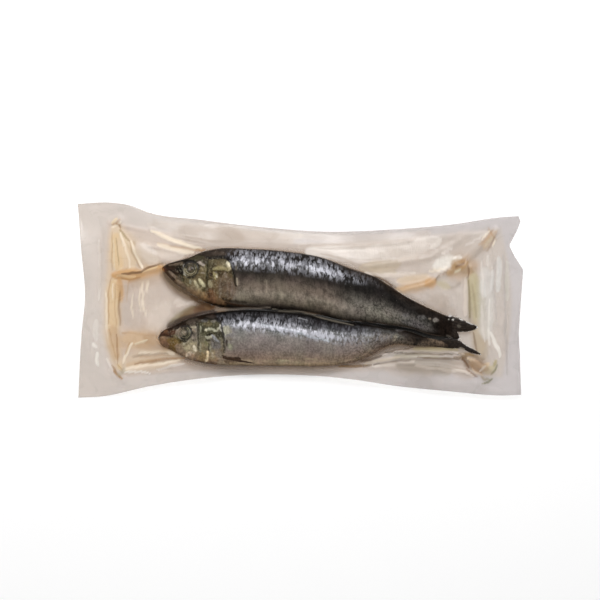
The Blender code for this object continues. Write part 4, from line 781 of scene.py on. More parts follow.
def tapered(runs, edge, x, y):
    """1 inside runs of two ends and their half widths, 0 outside, with a soft edge."""
    share = np.zeros(np.shape(x))
    for ax, ay, bx, by, root, tip in runs:
        t, away = beside(ax, ay, bx, by, x, y)
        share = np.maximum(share, smooth_step((root + (tip - root) * t - away) / edge + 0.5))
    return share


def tail_share(x, y):
    """The share of a tail blade's rise over each point."""
    return tapered(TAIL_LOBES, TAIL_EDGE, x, y)


def blade_share(x, y):
    """1 on a tail blade as it shows, and 0 off it."""
    runs = [(*a[:2], *b[:2], a[2], b[2]) for blade in TAIL_BLADES for a, b in zip(blade, blade[1:])]
    return tapered(runs, BLADE_EDGE, x, y)


def fish_heights(x, y):
    """Top, underside, middle height and footprint of the fish, short of their tails."""
    top, under = np.full(np.shape(x), -np.inf), np.full(np.shape(x), np.inf)
    middle, inside = np.zeros(np.shape(x)), np.zeros(np.shape(x), bool)
    for fish in FISH:
        across, half, plane, within = fish_place(fish, x, y)
        rise = flank_rise(across, half)
        top = np.where(within, np.maximum(top, plane + rise), top)
        under = np.where(within, np.minimum(under, plane - rise), under)
        middle = np.where(within, plane, middle)
        inside = inside | within
    return top, under, middle, inside


def head_relief(x, y):
    """What the eyes, gill covers, jaws and breast fins add to a flank."""
    relief = np.zeros(np.shape(x))
    for fish, (ex, ey, radius), cover in zip(FISH, EYES, GILL_COVERS):
        inside = fish_place(fish, x, y)[3]
        from_eye = np.hypot(x - ex, y - ey)
        dome = EYE_RISE * np.clip(1.0 - (from_eye / radius) ** 2, 0.0, 1.0)
        ring = EYE_GROOVE * rounded(np.abs(from_eye - radius - EYE_GROOVE_OUT), EYE_GROOVE_WIDTH)
        edge_x = through(cover, y)
        ahead = np.clip(edge_x - x, 0.0, GILL_REACH)
        span = (y > cover[0][0]) & (y < cover[-1][0])
        plate = GILL_STEP * smooth_step(ahead / GILL_BEVEL) * (1.0 - ahead / GILL_REACH) * span
        relief = relief + np.where(inside, dome - ring + plate, 0.0)
    for half_width, depth, route in HEAD_GROOVES:
        relief = relief - depth * rounded(distance_to(route, x, y), half_width)
    for half_width, height, route in FIN_RIDGES:
        relief = relief + height * rounded(distance_to(route, x, y), half_width)
    return relief


def fold_height(x, y):
    """What the film's folds add to the web."""
    height = np.zeros(np.shape(x))
    for half_width, rise, route in FILM_FOLDS:
        height = np.maximum(height, rise * rounded(distance_to(route, x, y), half_width))
    return height


def flange_height(x, y):
    """The sealed flange waves gently, and its corners droop towards the table."""
    (long, length, start), (aslant, run, rise), (cross, width, slant) = LONG_WAVE, SLANTING_WAVE, CROSS_WAVE
    wave = long * np.sin(2 * math.pi * x / length + start) + aslant * np.sin(2 * math.pi * (x / run + y / rise))
    wave = wave + cross * np.sin(2 * math.pi * y / width + x / slant)
    droop = CORNER_DROOP * (np.abs(x) / HALF_LENGTH) ** 4 * (np.abs(y) / HALF_WIDTH) ** 3
    return np.maximum(FLANGE_HEIGHT + wave - droop, LEAST_FLANGE)


def averaged(grid):
    """Each cell's mean over its four neighbours, with the border kept."""
    mean = grid.copy()
    mean[1:-1, 1:-1] = (grid[:-2, 1:-1] + grid[2:, 1:-1] + grid[1:-1, :-2] + grid[1:-1, 2:]) / 4.0
    return mean


def drawn_tight():
    """The film's top and underside on a square grid, stretched over the fish and pressed down onto the web."""
    past = GRID_MARGIN + CELL / 2
    xs, ys = (np.arange(-half - GRID_MARGIN, half + past, CELL) for half in (HALF_LENGTH, HALF_WIDTH))
    x, y = np.meshgrid(xs, ys, indexing="ij")
    top, under, middle, footprint = fish_heights(x, y)
    within = (
        (y < through(TOP_EDGE, x) - SEAM_INSET)
        & (y > through(BOTTOM_EDGE, x) + SEAM_INSET)
        & (x > through(LEFT_EDGE, y) + SEAM_INSET)
        & (x < straight(RIGHT_EDGE, y) - SEAM_INSET)
    )
    tail = tail_share(x, y) > 0.5
    free = within & ~footprint & ~tail
    web = np.where(footprint, middle, np.where(tail, TAIL_HEIGHT, flange_height(x, y)))
    for _ in range(WEB_PASSES):
        web = np.where(free, averaged(web), web)
    press = CELL**2 / (4.0 * BRIDGE_RADIUS)
    over = np.maximum(np.where(footprint, top + FILM_THICKNESS, -np.inf), web + WEB_THICKNESS / 2)
    below = np.minimum(np.where(footprint, under - FILM_THICKNESS, np.inf), web - WEB_THICKNESS / 2)
    below = np.maximum(below, 0.0)
    film_top, film_under = over.copy(), below.copy()
    for _ in range(FILM_PASSES):
        film_top = np.maximum(over, averaged(film_top) - press)
        film_under = np.minimum(below, averaged(film_under) + press)
    return xs, ys, film_top, np.maximum(film_under, 0.0)


def sampled(xs, ys, grid, x, y):
    """The grid's height at any point, by cubic interpolation that keeps the film smooth."""
    fx, fy = (x - xs[0]) / CELL, (y - ys[0]) / CELL
    i = np.clip(fx.astype(int), 1, len(xs) - 3)
    j = np.clip(fy.astype(int), 1, len(ys) - 3)

    def weights(t):
        return (-t / 2 + t**2 - t**3 / 2, 1 - 2.5 * t**2 + 1.5 * t**3,
                t / 2 + 2 * t**2 - 1.5 * t**3, (t**3 - t**2) / 2)

    across, along = weights(fx - i), weights(fy - j)
    return sum(across[p] * along[q] * grid[i + p - 1, j + q - 1] for p in range(4) for q in range(4))


def fish_rows(fish, x, left, right):
    """Belly, back line and back of a fish, with each carried on to its places on the side edges."""
    start, end = fish[0][0], fish[-1][0]
    back, belly = station(fish, 1, x), station(fish, 2, x)
    line = (back + belly) / 2 + through(BACK_FROM, x) * (back - belly) / 2
    ahead = np.clip((start - x) / (start + HALF_LENGTH), 0.0, 1.0)
    behind = np.clip((x - end) / (HALF_LENGTH - end), 0.0, 1.0)
    return [row + (to_left - row) * ahead + (to_right - row) * behind
            for row, to_left, to_right in zip((belly, line, back), left, right)]


def graded(columns):
    """Places along the pouch, closer together near its two ends, where the film is creased."""
    x = np.linspace(-HALF_LENGTH, HALF_LENGTH, 2001)
    weight = 1.0 + END_SHARE * smooth_step((np.abs(x) - END_FROM) / END_RUN)
    run = np.concatenate([[0.0], np.cumsum((weight[1:] + weight[:-1]) / 2)])
    return np.interp(np.linspace(0.0, run[-1], columns + 1), run, x)


def plan_points(columns, band_rows):
    """The film mesh's corners on the pouch's plan, in rows that follow the fish."""
    x = graded(columns)
    near = fish_rows(NEAR_FISH, x, LEFT_FAN[:3], RIGHT_FAN[:3])
    far = fish_rows(FAR_FISH, x, LEFT_FAN[3:], RIGHT_FAN[3:])
    cleft = (near[2] + far[0]) / 2
    near[2] = np.minimum(near[2], cleft - CLEFT / 2)
    far[0] = np.maximum(far[0], cleft + CLEFT / 2)
    guides = [through(BOTTOM_EDGE, x), *near, *far, through(TOP_EDGE, x)]
    rows = [guides[0]]
    for low, high, count in zip(guides, guides[1:], band_rows):
        rows += [low + (high - low) * k / count for k in range(1, count + 1)]
    y = np.array(rows).T
    x = np.repeat(x[:, None], y.shape[1], axis=1)
    from_left = 1.0 - smooth_step((x + HALF_LENGTH) / EDGE_BLEND)
    from_right = 1.0 - smooth_step((HALF_LENGTH - x) / EDGE_BLEND)
    x = x + (through(LEFT_EDGE, y) + HALF_LENGTH) * from_left
    return x + (straight(RIGHT_EDGE, y) - HALF_LENGTH) * from_right, y


def grid_faces(columns, rows, first=0, wrap=False):
    """Quads between the corners of a grid that is stored column by column."""
    i, j = np.meshgrid(np.arange(columns - 1), np.arange(rows if wrap else rows - 1), indexing="ij")
    a, b = i * rows + j, i * rows + (j + 1) % rows
    return first + np.stack([a, a + rows, b + rows, b], axis=-1).reshape(-1, 4)


def tube_faces(columns, rows):
    """The quads of a tube that is stored ring by ring, and a cap at each of its ends."""
    last = columns * rows - 1
    return [*grid_faces(columns, rows, wrap=True), range(rows), range(last, last - rows, -1)]


def flat(*grids):
    """Grids of numbers as a row for each of their points."""
    return np.stack(grids, axis=-1).reshape(-1, len(grids))


def new_piece(name, corners, faces, material, node=None, uv=None, colours=None, values=None):
    """A smooth mesh object in millimetres, riding on the pouch's body, with its maps and attributes."""
    mesh = bpy.data.meshes.new(name)
    mesh.from_pydata((np.asarray(corners, float) * MM).tolist(), [], [list(map(int, f)) for f in faces])
    mesh.update()
    mesh.shade_smooth()
    piece = bpy.data.objects.new(name, mesh)
    bpy.context.scene.collection.objects.link(piece)
    if uv is not None:
        loops = np.empty(len(mesh.loops), int)
        mesh.loops.foreach_get("vertex_index", loops)
        layer = mesh.uv_layers.new(name="skin")
        layer.data.foreach_set("uv", np.asarray(uv, float)[loops].ravel())
    for label, data in (colours or {}).items():
        layer = mesh.attributes.new(label, "FLOAT_COLOR", "POINT")
        rgba = np.ones((len(data), 4))
        rgba[:, :3] = data
        layer.data.foreach_set("color", rgba.ravel())
    for label, data in (values or {}).items():
        layer = mesh.attributes.new(label, "FLOAT", "POINT")
        layer.data.foreach_set("value", np.asarray(data, float).ravel())
    mesh.materials.append(material)
    if material is None:
        raise RuntimeError(name + " has no material")
    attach(piece, "root")
    if node:
        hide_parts(node)
    return piece


def feed(tree, node, inputs):
    """Sets a node's inputs, each to a value or to the socket that feeds it."""
    for label, value in inputs.items():
        if isinstance(value, bpy.types.NodeSocket):
            tree.links.new(value, node.inputs[label])
        else:
            node.inputs[label].default_value = value


def add_node(tree, kind, inputs=None, **settings):
    """A shader node with its settings and its inputs."""
    node = tree.nodes.new(kind)
    for label, value in settings.items():
        setattr(node, label, value)
    feed(tree, node, inputs or {})
    return node


def maths(tree, operation, first, second=0.0, clamp=False):
    """One step of arithmetic on two values."""
    node = add_node(tree, "ShaderNodeMath", {0: first, 1: second}, operation=operation, use_clamp=clamp)
    return node.outputs[0]


def times(tree, first, second, clamp=False):
    return maths(tree, "MULTIPLY", first, second, clamp)


def plus(tree, first, second, clamp=False):
    return maths(tree, "ADD", first, second, clamp)


def blended(tree, *parts):
    """The sum of some values, each times its share."""
    total, *others = [times(tree, value, share) for value, share in parts]
    for part in others:
        total = plus(tree, total, part)
    return total


def toned(tree, colour, factor):
    """A colour made lighter or darker by a factor."""
    return add_node(tree, "ShaderNodeVectorMath", {0: colour, "Scale": factor}, operation="SCALE").outputs[0]


def ranged(tree, value, low, high, to_low=0.0, to_high=1.0):
    """The value moved from one range to another, with smooth ends."""
    node = add_node(tree, "ShaderNodeMapRange", {0: value, 1: low, 2: high, 3: to_low, 4: to_high},
                    interpolation_type="SMOOTHSTEP")
    return node.outputs[0]


def mixed(tree, share, first, second):
    """Two colours mixed by a share."""
    return add_node(tree, "ShaderNodeMix", {0: share, 6: first, 7: second}, data_type="RGBA").outputs[2]


def stretched(tree, vector, x, y):
    """Map coordinates in millimetres divided into cells of x by y."""
    scaled = add_node(tree, "ShaderNodeVectorMath", {0: vector, 1: (100.0 / x, 100.0 / y, 1.0)}, operation="MULTIPLY")
    return scaled.outputs[0]


def noise(tree, vector, x, y, detail=2.0, roughness=0.55, distortion=0.0):
    """Cloudy noise in cells of x by y millimetres."""
    node = add_node(tree, "ShaderNodeTexNoise",
                    {"Vector": stretched(tree, vector, x, y), "Scale": 1.0, "Detail": detail,
                     "Roughness": roughness, "Distortion": distortion}, noise_dimensions="2D")
    return node.outputs[0]


def cells(tree, vector, x, y, randomness):
    """Scattered cells of x by y millimetres."""
    return add_node(tree, "ShaderNodeTexVoronoi",
                    {"Vector": stretched(tree, vector, x, y), "Scale": 1.0, "Randomness": randomness},
                    voronoi_dimensions="2D", feature="F1")


def shared_group(name, outputs):
    """A shader node group that takes map coordinates and gives the named values."""
    group = bpy.data.node_groups.get(name)
    if group:
        return group, None, None
    group = bpy.data.node_groups.new(name, "ShaderNodeTree")
    group.interface.new_socket("Vector", in_out="INPUT", socket_type="NodeSocketVector")
    for label in outputs:
        group.interface.new_socket(label, in_out="OUTPUT", socket_type="NodeSocketFloat")
    vector = group.nodes.new("NodeGroupInput").outputs["Vector"]
    return group, vector, group.nodes.new("NodeGroupOutput")


def turned(group, vector, angle):
    """Map coordinates turned by an angle."""
    node = add_node(group, "ShaderNodeVectorRotate", {"Vector": vector, "Angle": angle}, rotation_type="Z_AXIS")
    return node.outputs[0]


def scaled_skin():
    """Worn sardine skin: silver scales in rows, a soft mottle, dark flecks, bright specks, and their relief."""
    group, vector, result = shared_group("Scaled skin", ("Dash", "Mottle", "Fleck", "Speck", "Height", "Grain"))
    if result is None:
        return group
    scale = cells(group, turned(group, vector, SCALE_TURN), *SCALE_CELLS)
    tone = add_node(group, "ShaderNodeSeparateColor", {"Color": scale.outputs["Color"]}).outputs[0]
    body = ranged(group, scale.outputs["Distance"], *SCALE_BODY)
    down, up = (noise(group, turned(group, vector, lean), *SCALES) for lean in (SCALE_LEAN, -SCALE_LEAN))
    grain, drift, streak, clump = (noise(group, vector, *field) for field in (GRAIN, DRIFT, STREAKS, CLUMPS))
    cross = maths(group, "MAXIMUM", down, up)
    lit = blended(group, (cross, 0.70), (tone, 0.20), (body, 0.14))
    dash = times(group, ranged(group, lit, *DASH_LIT), ranged(group, grain, *DASH_GRAIN))
    feed(group, result, {
        "Dash": times(group, dash, ranged(group, clump, *DASH_CLUMP)),
        "Mottle": blended(group, (streak, 0.42), (grain, 0.26), (drift, 0.32)),
        "Fleck": ranged(group, noise(group, vector, *FLECKS), *FLECKED_FROM),
        "Speck": noise(group, vector, *SPECKS),
        "Height": blended(group, (cross, 0.45), (grain, 0.55)),
        "Grain": grain,
    })
    return group


def crinkled_film():
    """Drawn film: sharp creases that run along its pull, soft waves, and a cloudy haze."""
    group, vector, result = shared_group("Crinkled film", ("Crease", "Wave", "Haze"))
    if result is None:
        return group
    fine, long = (maths(group, "ABSOLUTE", maths(group, "SUBTRACT", noise(group, vector, *field), 0.5))
                  for field in (FINE_CREASES, LONG_CREASES))
    feed(group, result, {"Crease": blended(group, (fine, -1.6), (long, -1.2)),
                         "Wave": noise(group, vector, *WAVES), "Haze": noise(group, vector, *HAZE)})
    return group


def new_material(name):
    """An empty material, its tree, its Principled shader and its skin map's coordinates."""
    material = bpy.data.materials.new(name)
    material.use_nodes = True
    tree = material.node_tree
    tree.nodes.clear()
    shader = tree.nodes.new("ShaderNodeBsdfPrincipled")
    output = tree.nodes.new("ShaderNodeOutputMaterial")
    tree.links.new(shader.outputs[0], output.inputs["Surface"])
    return material, tree, shader, add_node(tree, "ShaderNodeUVMap", uv_map="skin").outputs[0]


def attribute(tree, name):
    """What a piece's mesh stores under a name."""
    return add_node(tree, "ShaderNodeAttribute", attribute_name=name).outputs


def bumped(tree, height, depth):
    """The normal of a relief whose depth is in millimetres."""
    return add_node(tree, "ShaderNodeBump", {"Height": height, "Distance": depth * MM}).outputs[0]


def skin_material(name, look):
    """A flank: painted tones, mottled and flecked, with silver scales in its bright band that is partly a painted
    highlight.
    """
    material, tree, shader, vector = new_material(name)
    skin = add_node(tree, "ShaderNodeGroup", {0: vector}, node_tree=scaled_skin()).outputs
    paint, band, worn, flecked, cheek = (attribute(tree, n) for n in ("paint", "band", "worn", "flecked", "cheek"))
    swing = times(tree, ranged(tree, skin["Mottle"], *MOTTLED_FROM, -look.mottle, look.mottle), worn["Fac"])
    spots = times(tree, maths(tree, "SUBTRACT", skin["Fleck"], 0.5), flecked["Fac"])
    tone = toned(tree, paint["Color"], plus(tree, plus(tree, swing, 1.0), spots))
    core = times(tree, maths(tree, "SUBTRACT", band["Fac"], SOLID_FROM, clamp=True), SOLID_GAIN)
    share = plus(tree, times(tree, band["Fac"], skin["Dash"]), core, clamp=True)
    gap = times(tree, band["Fac"], maths(tree, "SUBTRACT", 1.0, skin["Dash"]), clamp=True)
    colour = mixed(tree, times(tree, gap, GAP_STRENGTH), tone, toned(tree, tone, GAP_TONE))
    # The silver band laid into the colour: silver scales, partly a painted highlight.
    colour = mixed(tree, share, colour, (*look.silver, 1.0))
    # Bright specks on the heads are painted glints.
    glint = times(tree, ranged(tree, skin["Speck"], *GLINTS_FROM, 0.0, look.speck), cheek["Fac"])
    pit = times(tree, ranged(tree, skin["Speck"], *PITS_FROM, look.speck, 0.0), cheek["Fac"])
    colour = mixed(tree, glint, colour, (*look.glint, 1.0))
    feed(tree, shader, {
        "Base Color": mixed(tree, pit, colour, (*look.pit, 1.0)),
        "Roughness": ranged(tree, skin["Grain"], *MIDDLE, look.roughness - ROUGH_DIP, look.roughness + ROUGH_SWELL),
        "Metallic": times(tree, share, look.metallic),
        "Coat Weight": ranged(tree, skin["Mottle"], *WET_FROM, 0.15 * look.wetness, look.wetness),
        "Specular IOR Level": look.shine,
        "Coat Roughness": 0.14,
        "Normal": bumped(tree, skin["Height"], look.relief),
    })
    return material


def eye_material(name, look):
    """A clouded eye in its painted tones, broken up by haze."""
    material, tree, shader, vector = new_material(name)
    haze = noise(tree, vector, 1.3, 1.1, 3.0)
    cloud = ranged(tree, noise(tree, vector, 0.8, 0.7, 2.0), *MIDDLE, 1.0 - look.cloud, 1.0 + look.cloud)
    feed(tree, shader, {
        "Base Color": toned(tree, attribute(tree, "paint")["Color"], cloud),
        "Roughness": ranged(tree, haze, *MIDDLE, 0.3, 0.5),
        "Specular IOR Level": 0.2,
        "Coat Weight": 0.3,
        "Coat Roughness": 0.15,
        "Normal": bumped(tree, haze, 0.12),
    })
    return material


def fin_material(name, tone, light):
    """A fin: dark web between paler rays, torn a little at its edge."""
    material, tree, shader, vector = new_material(name)
    fleck = noise(tree, vector, 1.4, 0.9, 3.0, 0.65)
    share = times(tree, attribute(tree, "ray")["Fac"], ranged(tree, fleck, 0.35, 0.68), clamp=True)
    feed(tree, shader, {
        "Base Color": mixed(tree, share, (*tone, 1.0), (*light, 1.0)),
        "Roughness": ranged(tree, fleck, *MIDDLE, 0.28, 0.5),
        "Specular IOR Level": 0.05,
        "Coat Weight": 0.1,
        "Coat Roughness": 0.15,
        "Normal": bumped(tree, fleck, 0.25),
    })
    return material


def film_material(name, look):
    """Clear film: all but unseen where it lies on a fish, and milky with creases where its plies meet."""
    material, tree, shader, vector = new_material(name)
    film = add_node(tree, "ShaderNodeGroup", {0: vector}, node_tree=crinkled_film()).outputs
    paint, cover, loose, matt = (attribute(tree, n) for n in ("paint", "cover", "loose", "matt"))
    shadow = add_node(tree, "ShaderNodeLightPath").outputs["Is Shadow Ray"]
    clear = maths(tree, "SUBTRACT", 1.0, times(tree, shadow, look.clear))
    gloss = ranged(tree, film["Haze"], *MIDDLE, look.roughness, look.roughness + ROUGH_SWELL)
    height = plus(tree, film["Crease"], times(tree, film["Wave"], WAVE_SHARE))
    feed(tree, shader, {
        "Base Color": toned(tree, paint["Color"], ranged(tree, film["Haze"], *MIDDLE, *HAZE_TONES)),
        "Alpha": times(tree, cover["Fac"], clear, clamp=True),
        "Roughness": plus(tree, gloss, matt["Fac"], clamp=True),
        "IOR": look.ior,
        "Normal": bumped(tree, times(tree, height, loose["Fac"]), look.crinkle),
    })
    return material


def ramp_colour(ramp, at):
    """The colour of a ramp of sRGB stops at each place, in linear light."""
    places = [place for place, *_ in ramp]
    tones = np.array([linear(tone) for _, *tone in ramp])
    return np.stack([np.interp(at, places, tones[:, k]) for k in range(3)], axis=-1)


def body_piece(name, index, look, material):
    """One sardine, short of its fins: rings down its length, shaped, carved and painted."""
    fish = FISH[index]
    nape = fish[0][0] + HEAD_LENGTH
    x = np.concatenate([np.linspace(SNOUTS[index][0], nape, look.head_rings, endpoint=False),
                        np.linspace(nape, fish[-1][0], look.body_rings)])
    turn = np.linspace(0.0, 2.0 * math.pi, look.around, endpoint=False)
    x, turn = np.meshgrid(x, turn, indexing="ij")
    across, side = np.cos(turn), np.sign(np.sin(turn).round(9))
    half, middle = station(fish, 3, x), station(fish, 4, x)
    back, belly = skin_edges(index, x)
    y = (back + belly) / 2 + (back - belly) / 2 * across
    rise = flank_rise(across, half)
    # The marks lay the fish's own markings, and painted highlights, glints and shade on the heads.
    colour, carved, _ = painted(body_paint(index, x, y, across), *wandered(SKIN_WANDER, x, y), MARKS[index])
    relief = (head_relief(x, y) + carved) * np.clip(rise / RELIEF_FADE, 0.0, 1.0)
    xs, ys, tops, unders = drawn_tight()
    ceiling, bottom = sampled(xs, ys, tops, x, y) + relief, sampled(xs, ys, unders, x, y) - relief
    lowest = np.maximum(bottom + look.gap, LEAST_HEIGHT)
    z = np.clip(middle + side * (rise + relief - look.gap), lowest, ceiling - look.gap)
    arc = across * (back - belly) / 2
    # The silver band, partly a painted highlight of the key light.
    band = np.maximum(*(band_and_highlight_share(rows, x, across) for rows in BANDS[index]))
    head = head_share(index, x, y)
    shade = rippled(FLANK_RIPPLES, x, arc, index, 1.0) + head * rippled(HEAD_RIPPLES, x, y, index)
    tint = 1.0 + np.array(TINT) * rippled(TINT_RIPPLES, x, arc, index)[..., None]
    colour = np.clip(colour * tint * shade[..., None], 0.002, 1.0)
    rear = smooth_step((x - REAR_FROM[0]) / (REAR_FROM[1] - REAR_FROM[0]))
    behind_snout = smooth_step((x - fish[0][0] - CHEEK_FROM[0]) / (CHEEK_FROM[1] - CHEEK_FROM[0]))
    return new_piece(
        name, flat(x, y, z), tube_faces(*x.shape), material,
        uv=flat(x, arc + index * FISH_MAP_STEP) * MAP_SCALE,
        colours={"paint": colour.reshape(-1, 3)},
        values={"band": band * (1.0 - head),
                "worn": WORN[index] * (1.0 - HEAD_WEAR * head),
                "flecked": FLECKED[index] + REAR_FLECKS * rear * (1.0 - head),
                "cheek": head * behind_snout * smooth_step((CHEEK_EDGE[0] - np.abs(across)) / CHEEK_EDGE[1])},
    )


def band_and_highlight_share(band, x, across):
    """The silver band's strength over each point of a flank; the band is partly a painted highlight."""
    middle, width, strength = (station(band, k, x) for k in (1, 2, 3))
    inside = (x > band[0][0]) & (x < band[-1][0])
    across_it = rounded(np.abs(across - middle), np.maximum(width, 0.02))
    return np.clip(strength, 0, 2) * inside * across_it**BAND_ROUND


def head_share(index, x, y):
    """1 ahead of a fish's gill cover, and 0 behind it."""
    return smooth_step((through(GILL_COVERS[index], y) - x) / GILL_FADE + 0.5)


def body_paint(index, x, y, across):
    """The flank's tones: shoulder to rear to stalk, with the head's own tones ahead of its gill cover."""
    first, *others = RAMPS[index]
    colour = ramp_colour(first, across)
    for ramp, (start, end) in zip(others, RAMPS_FROM[index]):
        share = smooth_step((x - start) / (end - start))[..., None]
        colour = colour + (ramp_colour(ramp, across) - colour) * share
    share = smooth_step((x - TAIL_FROM[0]) / (TAIL_FROM[1] - TAIL_FROM[0]))[..., None]
    colour = colour + (linear(TAIL_TONE) - colour) * share
    share = head_share(index, x, y)[..., None]
    return colour + (ramp_colour(HEADS[index], across) - colour) * share


def flank_top(index, x, y, gap):
    """Height of a fish's upper flank with its relief, and its middle plane."""
    _, half, middle, _ = fish_place(FISH[index], x, y)
    back, belly = skin_edges(index, x)
    across = (y - (back + belly) / 2) / np.maximum((back - belly) / 2, 1e-6)
    rise = flank_rise(np.clip(across, -1, 1), half)
    carved = painted(0.0, x, y, MARKS[index])[1]
    return middle + rise + (head_relief(x, y) + carved) * np.clip(rise / RELIEF_FADE, 0, 1) - gap, middle


def eye_piece(name, index, side, look, material, gap):
    """An eye on one flank, as a shallow disc of rings that follows the flank under it."""
    ex, ey, radius = EYES[index]
    rings, rows = EYE_MESH
    away, turn = np.linspace(0.02, 1.0, rings), np.linspace(0, 2 * math.pi, rows, endpoint=False)
    away, turn = np.meshgrid(away, turn, indexing="ij")
    reach = away * (radius + EYE_RIM)
    x, y = ex + reach * np.cos(turn), ey + reach * np.sin(turn)
    top, middle = flank_top(index, x, y, gap)
    lens = EYE_LENS[0] * np.clip(1.0 - (away / EYE_LENS[1]) ** 2, 0, 1)
    for rise, place, half_width in EYE_FORM:
        lens = lens + rise * rounded(np.abs(away - place), half_width)
    z = middle + side * (top - middle + look.stand * (1.0 - away**6) + lens)
    tone = np.tile(linear(EYE_TONES[index]), x.shape + (1,))
    # Rings laid part of the way round: dark arcs at the top are painted shade, pale arcs partly painted light.
    for ring, start, end, half_width, strength, colour in EYE_RINGS_LIT_AND_SHADED[index]:
        span = (np.degrees(turn) - start) % 360.0 - (end - start) / 2.0
        share = rounded(np.abs(reach - ring), half_width) * strength
        ends = ((end - start) / 2.0 - np.abs(span)) / EYE_RING_FADE + 0.5 + (end - start >= 360)
        share = np.clip(EYE_RING_FULL * (share * smooth_step(ends)), 0.0, 1.0)
        tone = tone + (linear(colour) - tone) * share[..., None]
    faces = [*grid_faces(rings, rows, wrap=True), range(rows)]
    if side < 0:
        faces = [face[::-1] for face in faces]
    return new_piece(name, flat(x, y, z), faces, material, uv=flat(x, y) * MAP_SCALE,
                     colours={"paint": tone.reshape(-1, 3)})


def blade_piece(name, route, thickness, rays, material, height, side=1.0, seed=0):
    """A fin: a thin closed blade along a route of x, y and half width, ribbed by rays and ragged at its edge."""
    steps, across = BLADE_MESH
    t = np.linspace(0.0, 1.0, steps)
    route = np.array(route, float)
    places = np.concatenate([[0.0], np.cumsum(np.hypot(*np.diff(route[:, :2], axis=0).T))])
    places = places / places[-1]
    cx, cy = (through(np.column_stack([places, route[:, k]]), t) for k in (0, 1))
    run = np.stack([np.gradient(cx), np.gradient(cy)], axis=-1)
    run = run / np.linalg.norm(run, axis=-1, keepdims=True)
    width = np.interp(t, places, route[:, 2])
    turn = np.linspace(0, 2 * math.pi, across, endpoint=False)
    t, turn = np.meshgrid(t, turn, indexing="ij")
    w, face = np.cos(turn), np.sin(turn)
    ragged = 1.0 + BLADE_RAGGED * ripple(t * BLADE_NICKS, np.sign(w) * 3.0, 1.0, 1.0, seed) * smooth_step(t * 3)
    wide = width[:, None] * ragged * w
    x = cx[:, None] - run[:, 1:2] * wide
    y = cy[:, None] + run[:, 0:1] * wide
    ray = 0.5 + 0.5 * np.cos(w * math.pi * rays)
    root, tip = BLADE_ENDS
    ends = np.sqrt(np.clip(t / root, 0, 1)) * np.sqrt(np.clip((1.0 - t) / tip, 0, 1))
    ribs = RAY_RISE * ray * np.maximum(face * side, 0) * side
    z = height(x, y) + side * (thickness * (face * BLADE_ROUND + ribs) * ends)
    return new_piece(name, flat(x, y, z), tube_faces(steps, across), material, uv=flat(x, y) * MAP_SCALE,
                     values={"ray": ray})


def crinkles(x, y):
    """Loose creases in the parts of the web where the pocket has collapsed: their height and their share."""
    height, share = np.zeros(np.shape(x)), np.zeros(np.shape(x))
    for k, (cx, cy, rx, ry, depth) in enumerate(CRINKLED):
        patch = smooth_step(CRINKLE_EDGE - CRINKLE_EDGE * np.hypot((x - cx) / rx, (y - cy) / ry))
        folds = sum(part * (0.5 - np.abs(ripple(x + slant * y, y, cell_x, cell_y, seed + k)))
                    for part, slant, cell_x, cell_y, seed in CRINKLE_FOLDS)
        height = height + depth * patch * folds
        share = np.maximum(share, patch)
    return height, share


def film_places():
    """The rows of the upper film that the under film shares, which has fewer."""
    kept, start = [0], 0
    for count, step in zip(UPPER_ROWS, UNDER_STEPS):
        kept += range(start + step, start + count + 1, step)
        start += count
    return np.array(kept)


def film_faces(columns, rows, kept):
    """The upper film, the coarser under film, and the seam all round that joins them."""
    count, low_columns = columns * rows, (columns + 1) // 2
    faces = list(grid_faces(columns, rows)) + list(grid_faces(low_columns, len(kept), first=count)[:, ::-1])
    place = {row: k for k, row in enumerate(kept)}
    rim = [(i, 0) for i in range(columns)] + [(columns - 1, j) for j in range(1, rows)]
    rim += [(i, rows - 1) for i in range(columns - 2, -1, -1)] + [(0, j) for j in range(rows - 2, 0, -1)]
    shared = [k for k, (i, j) in enumerate(rim) if i % 2 == 0 and j in place]
    for first, last in zip(shared, shared[1:] + [shared[0] + len(rim)]):
        run = [rim[k % len(rim)] for k in range(first, last + 1)]
        low = [count + (i // 2) * len(kept) + place[j] for i, j in (run[0], run[-1])]
        faces.append(low + [i * rows + j for i, j in reversed(run)])
    return faces


def own_tone(seen, cover, look):
    """The film's own colour, from the tone wanted over the white table that shows through both its plies."""
    clear = (1.0 - cover[..., None]) ** 2
    return np.clip((seen - look.table * clear) / (look.light * (1.0 - clear)), 0.004, 1.0)


def brine_share(x, y):
    """How much brine has gathered beside the fish, 1 on them. Its brown tone on the film is partly painted shade."""
    return np.exp(-np.clip(off_skin(x, y), 0.0, None) / BRINE_REACH)


def cleft_share(x, y):
    """The cleft between the fish, where their skins come close; it is painted dark as shade."""
    upper, lower = skin_edges(0, x)[1] + CLEFT_OVER[0], skin_edges(1, x)[0] - CLEFT_OVER[1]
    (start, rise), (end, fall) = CLEFT_ENDS
    share = smooth_step((CLEFT_OPEN - upper + lower) / CLEFT_FADE)
    share = share * smooth_step((x - start) / rise) * smooth_step((end - x) / fall)
    return share * smooth_step((upper - y) / CLEFT_EDGE + 0.5) * smooth_step((y - lower) / CLEFT_EDGE + 0.5)


def left_to_right(left, right, x):
    """A colour setting at the pouch's left end that turns into another by its right end, in linear light."""
    left, right = (linear(np.array(tone) * 255.0) for tone in (left, right))
    return left + (right - left) * (x / (2.0 * HALF_LENGTH) + 0.5)[..., None]


